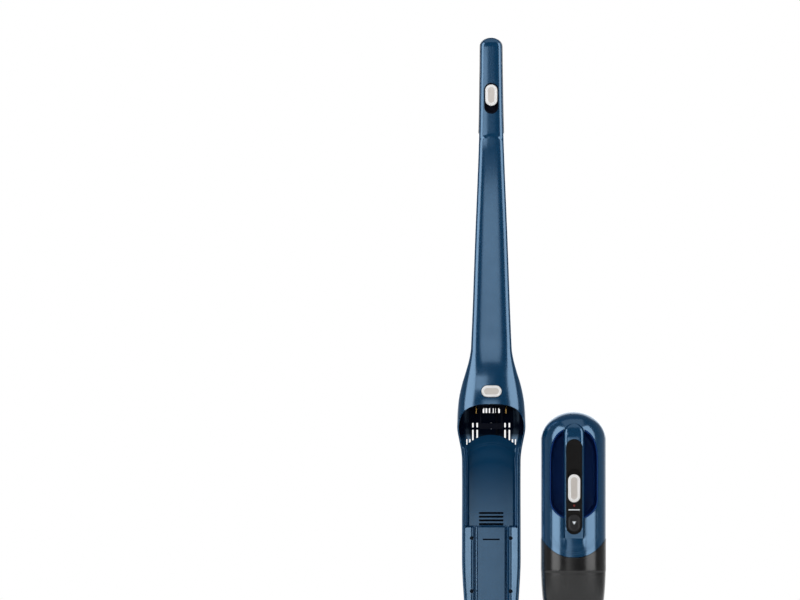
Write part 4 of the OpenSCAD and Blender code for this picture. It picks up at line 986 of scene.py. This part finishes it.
solid("bin_catch", "bin_button",
      pad(20, 27, aside, button_z, f, ((0, -2.2), (0, -3.9), (0.3, -4.5), (0.9, -4.7), (1.9, -4.6), (2.6, -4.1),
                                       (4.6, -3.9), (9.6, -3.8))),
      M["black_plastic"], 0, 0, out=(aside, 60, button_z))
# plain white triangle and bar
tri = np.array([[-3.1, 2.0], [3.1, 2.0], [0, -2.9]])
t = sheet(dense(tri, 0.6), [], lambda x, z: (aside + x, 0*x + f - 3.96, button_z + 0.5 + z), 1.2)
extra_piece("arrow", "bin_button", t, M["white_print"], 0)
bar_z = button_z + 21
t = sheet(rect(-9, -0.75, 9, 0.75, 0.75), [],
          lambda x, z: (aside + x, -eject + proud_y(bar_z + z) - 0.93 + crown*x*x, bar_z + z), 1.0)
extra_piece("level_bar", "grip_insert", t, M["white_print"], 0)

# Handle switch, on the leaning face
g = split_y - 10.3
switch_pad = pad(slide_w, switch_h, 0, 0, g, ((0, 4.2), (0, -2.0), (0.35, -3.0), (1.1, -3.5), (2.4, -3.6), (3.7, -3.55),
                                              (4.5, -3.1), (5.0, -2.95), (7.5, -2.9), (9.0, -2.9)))
switch_at = (0, float(lean(switch_z)), switch_z)
o = solid("handle_slide", "handle_switch", moved(switch_pad, switch_at, turned_x(-lean_angle)),
          M["silver_plastic"], 0, 0, out=(0, 60, switch_z))
upright = np.array(turned_x(lean_angle))


def on_switch(c):
    x, y, z = upright @ (np.array(c) - switch_at)
    return y < g - 1.5 and pill_depth(x, z, slide_w, switch_h) > 4.3


pearl(o, on_switch)

# Release button of the dock
ry = split_y - float(curve(front_pts, release_z))
release_w, release_h = 32, 18.6
o = solid("release", "release_button",
          pad(release_w, release_h, 0, release_z, ry, ((0, 1.2), (0, -0.4), (0.4, -1.2), (1.3, -1.6), (2.6, -1.55),
                                                       (3.4, -1.1), (4.1, -0.95), (8.6, -0.9))),
          M["silver_plastic"], 0, 0, out=(0, 60, release_z))
pearl(o, lambda c: c.y < ry - 0.6 and pill_depth(c.x, c.z - release_z, release_w, release_h) > 3.9)
arm = [[[x, y, release_z + z] for x, z in ((-3, 3), (3, 3), (3, 7), (-3, 7))] for y in (ry + 1, ry + 8.9)]
extra_piece("release_arm", "release_button", tube(arm), M["silver_plastic"], 0.3)


# Dust bin: one skin all round, cut on the slant at its mouth
def bin_ring(z, u):
    s, c = unit(u/K, HAND_N)
    w, fr = curve(hand_w_pts, z), curve(hand_front_pts, z)
    return w*s, (hh_back + fr)/2 - (hh_back - fr)/2*c


def mouth_cut(y):
    """Height of the bin's slanted mouth."""
    return np.maximum(mouth_z, y + mouth_z + 26)


us = np.linspace(-2*U, 2*U, 181)[:-1]
x, y = bin_ring(np.full_like(us, mouth_z), us)
for _ in range(10):
    low = mouth_cut(y)
    x, y = bin_ring(low, us)
x, y = bin_ring(np.full_like(us, bin_z), us)
for _ in range(10):
    high = seam_z(np.clip(np.abs(x)/(hh_w/2), 0, 1)) - 0.6
    x, y = bin_ring(high, us)
rows = []
for t in np.linspace(0, 1, 130):
    z = low + (high - low)*t
    x, y = bin_ring(z, us)
    # a shallow moulded step round the bin
    k = 1 + 0.007*smooth((z - bin_z + 53)/1.6)
    rows.append(np.stack([x*k, duct_y + (y - duct_y)*k, z], 1))
a = np.linspace(0, 2*math.pi, 72, endpoint=False)
bore = np.stack([27*np.cos(a), duct_y + 12*np.sin(a)], 1)
under = sheet(rows[0][:, :2], [bore], lambda x, y: (x, y, mouth_cut(y)), 2.4)
solid("bin", "dust_bin", moved(joined(grid(rows, True), under), (aside, -eject, 0)), M["smoke_plastic"], wall, 0.5,
      merge=0.05, out=(aside, -60, 260))

# Spring of the ejector
s_lo, s_hi = lo("ejector_spring"), hi("ejector_spring")
spring_z = (s_lo[2] + s_hi[2])/2
coil_r, wire_r, turns, per_turn = 4.5, 0.7, 6, 26
wire = []
for i in range(turns*per_turn + 1):
    t = i/(turns*per_turn)
    a = 2*math.pi*turns*t
    y = s_lo[1] + wire_r + (s_hi[1] - s_lo[1] - 2*wire_r)*t
    wire.append([[(coil_r + wire_r*math.cos(q))*math.cos(a), y + wire_r*math.sin(q),
                  spring_z + (coil_r + wire_r*math.cos(q))*math.sin(a)] for q in np.arange(10)*2*math.pi/10])
o = solid("coil_spring", "ejector_spring", tube(wire), M["steel"], 0, 0, merge=0.001)
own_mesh(o)


# Raised lines round the front of the casing, from the recess down round its lower end
def bead(points, r):
    """Thin round line through points."""
    p = np.asarray(points, float)
    t = np.gradient(p, axis=0)
    t /= np.linalg.norm(t, axis=1)[:, None]
    n = np.cross(t, [0, 1, 0])
    n /= np.maximum(np.linalg.norm(n, axis=1), 1e-6)[:, None]
    b = np.cross(t, n)
    around = np.linspace(0, 2*math.pi, 8, endpoint=False)
    return tube([[p[i] + r*(math.cos(q)*n[i] + math.sin(q)*b[i]) for q in around] for i in range(len(p))])


for i, (half, low) in enumerate(((37.5, 4.6), (34.5, 7.4))):
    xx = np.linspace(half, -half, 70)
    arc_z = bin_z - bin_dip + low + 26*(np.abs(xx)/half)**DIP_N
    up_z = np.linspace(bin_z + 44, arc_z[0], 16)[:-1]
    x = np.concatenate([np.full(15, half), xx, np.full(15, -half)])
    uv = on_hand(np.stack([x, np.concatenate([up_z, arc_z, up_z[::-1]])], 1))
    px, py, pz = hand_place(-1)(uv[:, 0], uv[:, 1])
    extra_piece("casing_rib_%d" % (i + 1), "casing_front", bead(np.stack([px, py + 0.1, pz], 1), 0.42),
                M["blue_plastic"], 0)

# Rolled lip along the shell's front edge, beside the tray
zs = np.linspace(mouth_z + 44, dome_low - 12, 70)
fade = smooth((zs - zs[0])/8)*smooth((zs[-1] - zs)/14)
lip_section = ((0.1, 2.2), (0.1, 1.2), (0.5, 0.75), (1.2, 0.5), (4.6, -0.35), (5.1, -0.3), (5.4, 0.1), (5.4, 2.2))
for side in (-1, 1):
    rows = [np.stack([side*(curve(stick_w_pts, zs) - d), split_y + np.minimum(y + 1.6*(1 - fade), 2.2), zs], 1)
            for d, y in lip_section]
    extra_piece("shell_lip_" + ("left" if side < 0 else "right"), "cradle_back_shell",
                tube(np.transpose(rows, (1, 0, 2))), M["blue_plastic"], 0)

# ---- CAD nodes that stay ----
# Parts in the dock and hood, and the switch's recess, get the near-black painted shade instead of their own finish
OWN_LOOK = {n: "painted_shade_dark" for n in ("dock_roof", "ejector", "release_latch", "wire_loom", "switch_recess")}
OWN_LOOK["tray_screws"] = "steel_dark"
for n, ob in frame["nodes"].items():
    m = M[OWN_LOOK.get(n, slot_of[n])]
    if not ob.data.materials:
        ob.data.materials.append(m)
    for s in ob.material_slots:
        s.material = m
    if not ob.hide_render:
        ob.modifiers.new("weld", "WELD").merge_threshold = 1e-6
        rounded(ob, 0.25, 2, 35)

# ---- Stage ----
scene = bpy.context.scene
cam_data = bpy.data.cameras.new("camera")
cam = bpy.data.objects.new("camera", cam_data)
scene.collection.objects.link(cam)
scene.camera = cam
# far away with a long lens, straight on
cam.location = (-0.146, -12.0, 0.730)
cam.rotation_euler = (math.pi/2, 0, 0)
cam_data.lens, cam_data.sensor_width, cam_data.clip_end = 337.5, 36, 60

me = bpy.data.meshes.new("floor")
ring = [(1.7*math.cos(a), 1.7*math.sin(a), 0) for a in np.linspace(0, 2*math.pi, 96, endpoint=False)]
me.from_pydata(ring, [], [tuple(range(96))])
floor = bpy.data.objects.new("floor", me)
scene.collection.objects.link(floor)
fm = bpy.data.materials.new("floor_pale")
fm.use_nodes = True
nt = fm.node_tree
where = shader(nt, "ShaderNodeTexCoord").outputs["Object"]
cloud = shader(nt, "ShaderNodeTexNoise", {"Vector": where, "Scale": 3}).outputs["Fac"]
pale = shader(nt, "ShaderNodeMix", {"Factor": cloud, "A": (0.82, 0.82, 0.82, 1), "B": (0.86, 0.86, 0.86, 1)},
              data_type="RGBA")
fill(nt, nt.nodes["Principled BSDF"], {"Base Color": pale.outputs["Result"], "Roughness": 0.9,
                                       "Specular IOR Level": 0.1})
me.materials.append(fm)


def softbox(name, place, target, w, h, power):
    d = bpy.data.lights.new(name, "AREA")
    d.shape, d.size, d.size_y, d.energy = "RECTANGLE", w, h, power
    o = bpy.data.objects.new(name, d)
    scene.collection.objects.link(o)
    o.location = place
    o.rotation_euler = (Vector(target) - Vector(place)).to_track_quat("-Z", "Y").to_euler()


softbox("soft_left", (-1.30, -1.09, 1.5), (0.02, 0, 1.2), 1.3, 3.0, 28)
softbox("soft_right", (1.36, -1.09, 1.5), (0.08, 0, 1.2), 1.3, 3.0, 25)
softbox("front_low", (-0.04, -1.2, 0.25), (-0.04, 0, 0.25), 0.26, 0.34, 0.22)
softbox("front_high", (-0.02, -1.6, 0.86), (-0.02, 0, 0.86), 0.42, 0.44, 0.62)
softbox("soft_high", (-0.30, -1.2, 1.40), (0.0, 0, 1.1), 0.52, 0.26, 0.6)
softbox("soft_top", (0.1, -0.3, 2.9), (0.05, 0, 0.6), 1.6, 1.6, 3)
softbox("soft_back", (0.2, 2.4, 1.4), (0.05, 0, 0.6), 2.2, 1.8, 14)

# White behind the object and through it, a dim room for the light, and for reflections a room that is dark on the
# camera's side and bright behind the object
world = bpy.data.worlds.new("studio")
scene.world = world
world.use_nodes = True
nt = world.node_tree
nt.nodes.clear()
white = shader(nt, "ShaderNodeBackground", {"Color": (1, 1, 1, 1), "Strength": 1})
room = shader(nt, "ShaderNodeBackground", {"Color": (0.95, 0.98, 1, 1), "Strength": 0.2})
towards = shader(nt, "ShaderNodeTexCoord").outputs["Generated"]
part = shader(nt, "ShaderNodeSeparateXYZ", {"Vector": towards}).outputs
back = shader(nt, "ShaderNodeMapRange", {"Value": part["Y"], "From Min": -1}).outputs["Result"]
ramp = shader(nt, "ShaderNodeValToRGB", {"Fac": back})
for at, level in ((0.0, 0.02), (0.35, 0.06), (0.62, 0.16), (0.88, 0.3), (0.98, 1.0)):
    stop = ramp.color_ramp.elements[0] if at == 0 else ramp.color_ramp.elements.new(at)
    stop.position, stop.color = at, (level, level, level, 1)
ramp.color_ramp.elements.remove(ramp.color_ramp.elements[-1])
above = shader(nt, "ShaderNodeMapRange", {"Value": part["Z"], "To Min": 1.0, "To Max": 0.3}).outputs["Result"]
seen = shader(nt, "ShaderNodeBackground", {"Color": ramp.outputs["Color"], "Strength": above})
ray = shader(nt, "ShaderNodeLightPath").outputs
direct = shader(nt, "ShaderNodeMath", {0: ray["Is Camera Ray"], 1: ray["Is Transmission Ray"]}, operation="MAXIMUM")
mix = shader(nt, "ShaderNodeMixShader", {0: ray["Is Glossy Ray"], 1: room.outputs[0], 2: seen.outputs[0]})
mix = shader(nt, "ShaderNodeMixShader", {0: direct.outputs[0], 1: mix.outputs[0], 2: white.outputs[0]})
shader(nt, "ShaderNodeOutputWorld", {"Surface": mix.outputs[0]})
scene.view_settings.view_transform = "Standard"

bpy.context.view_layer.update()
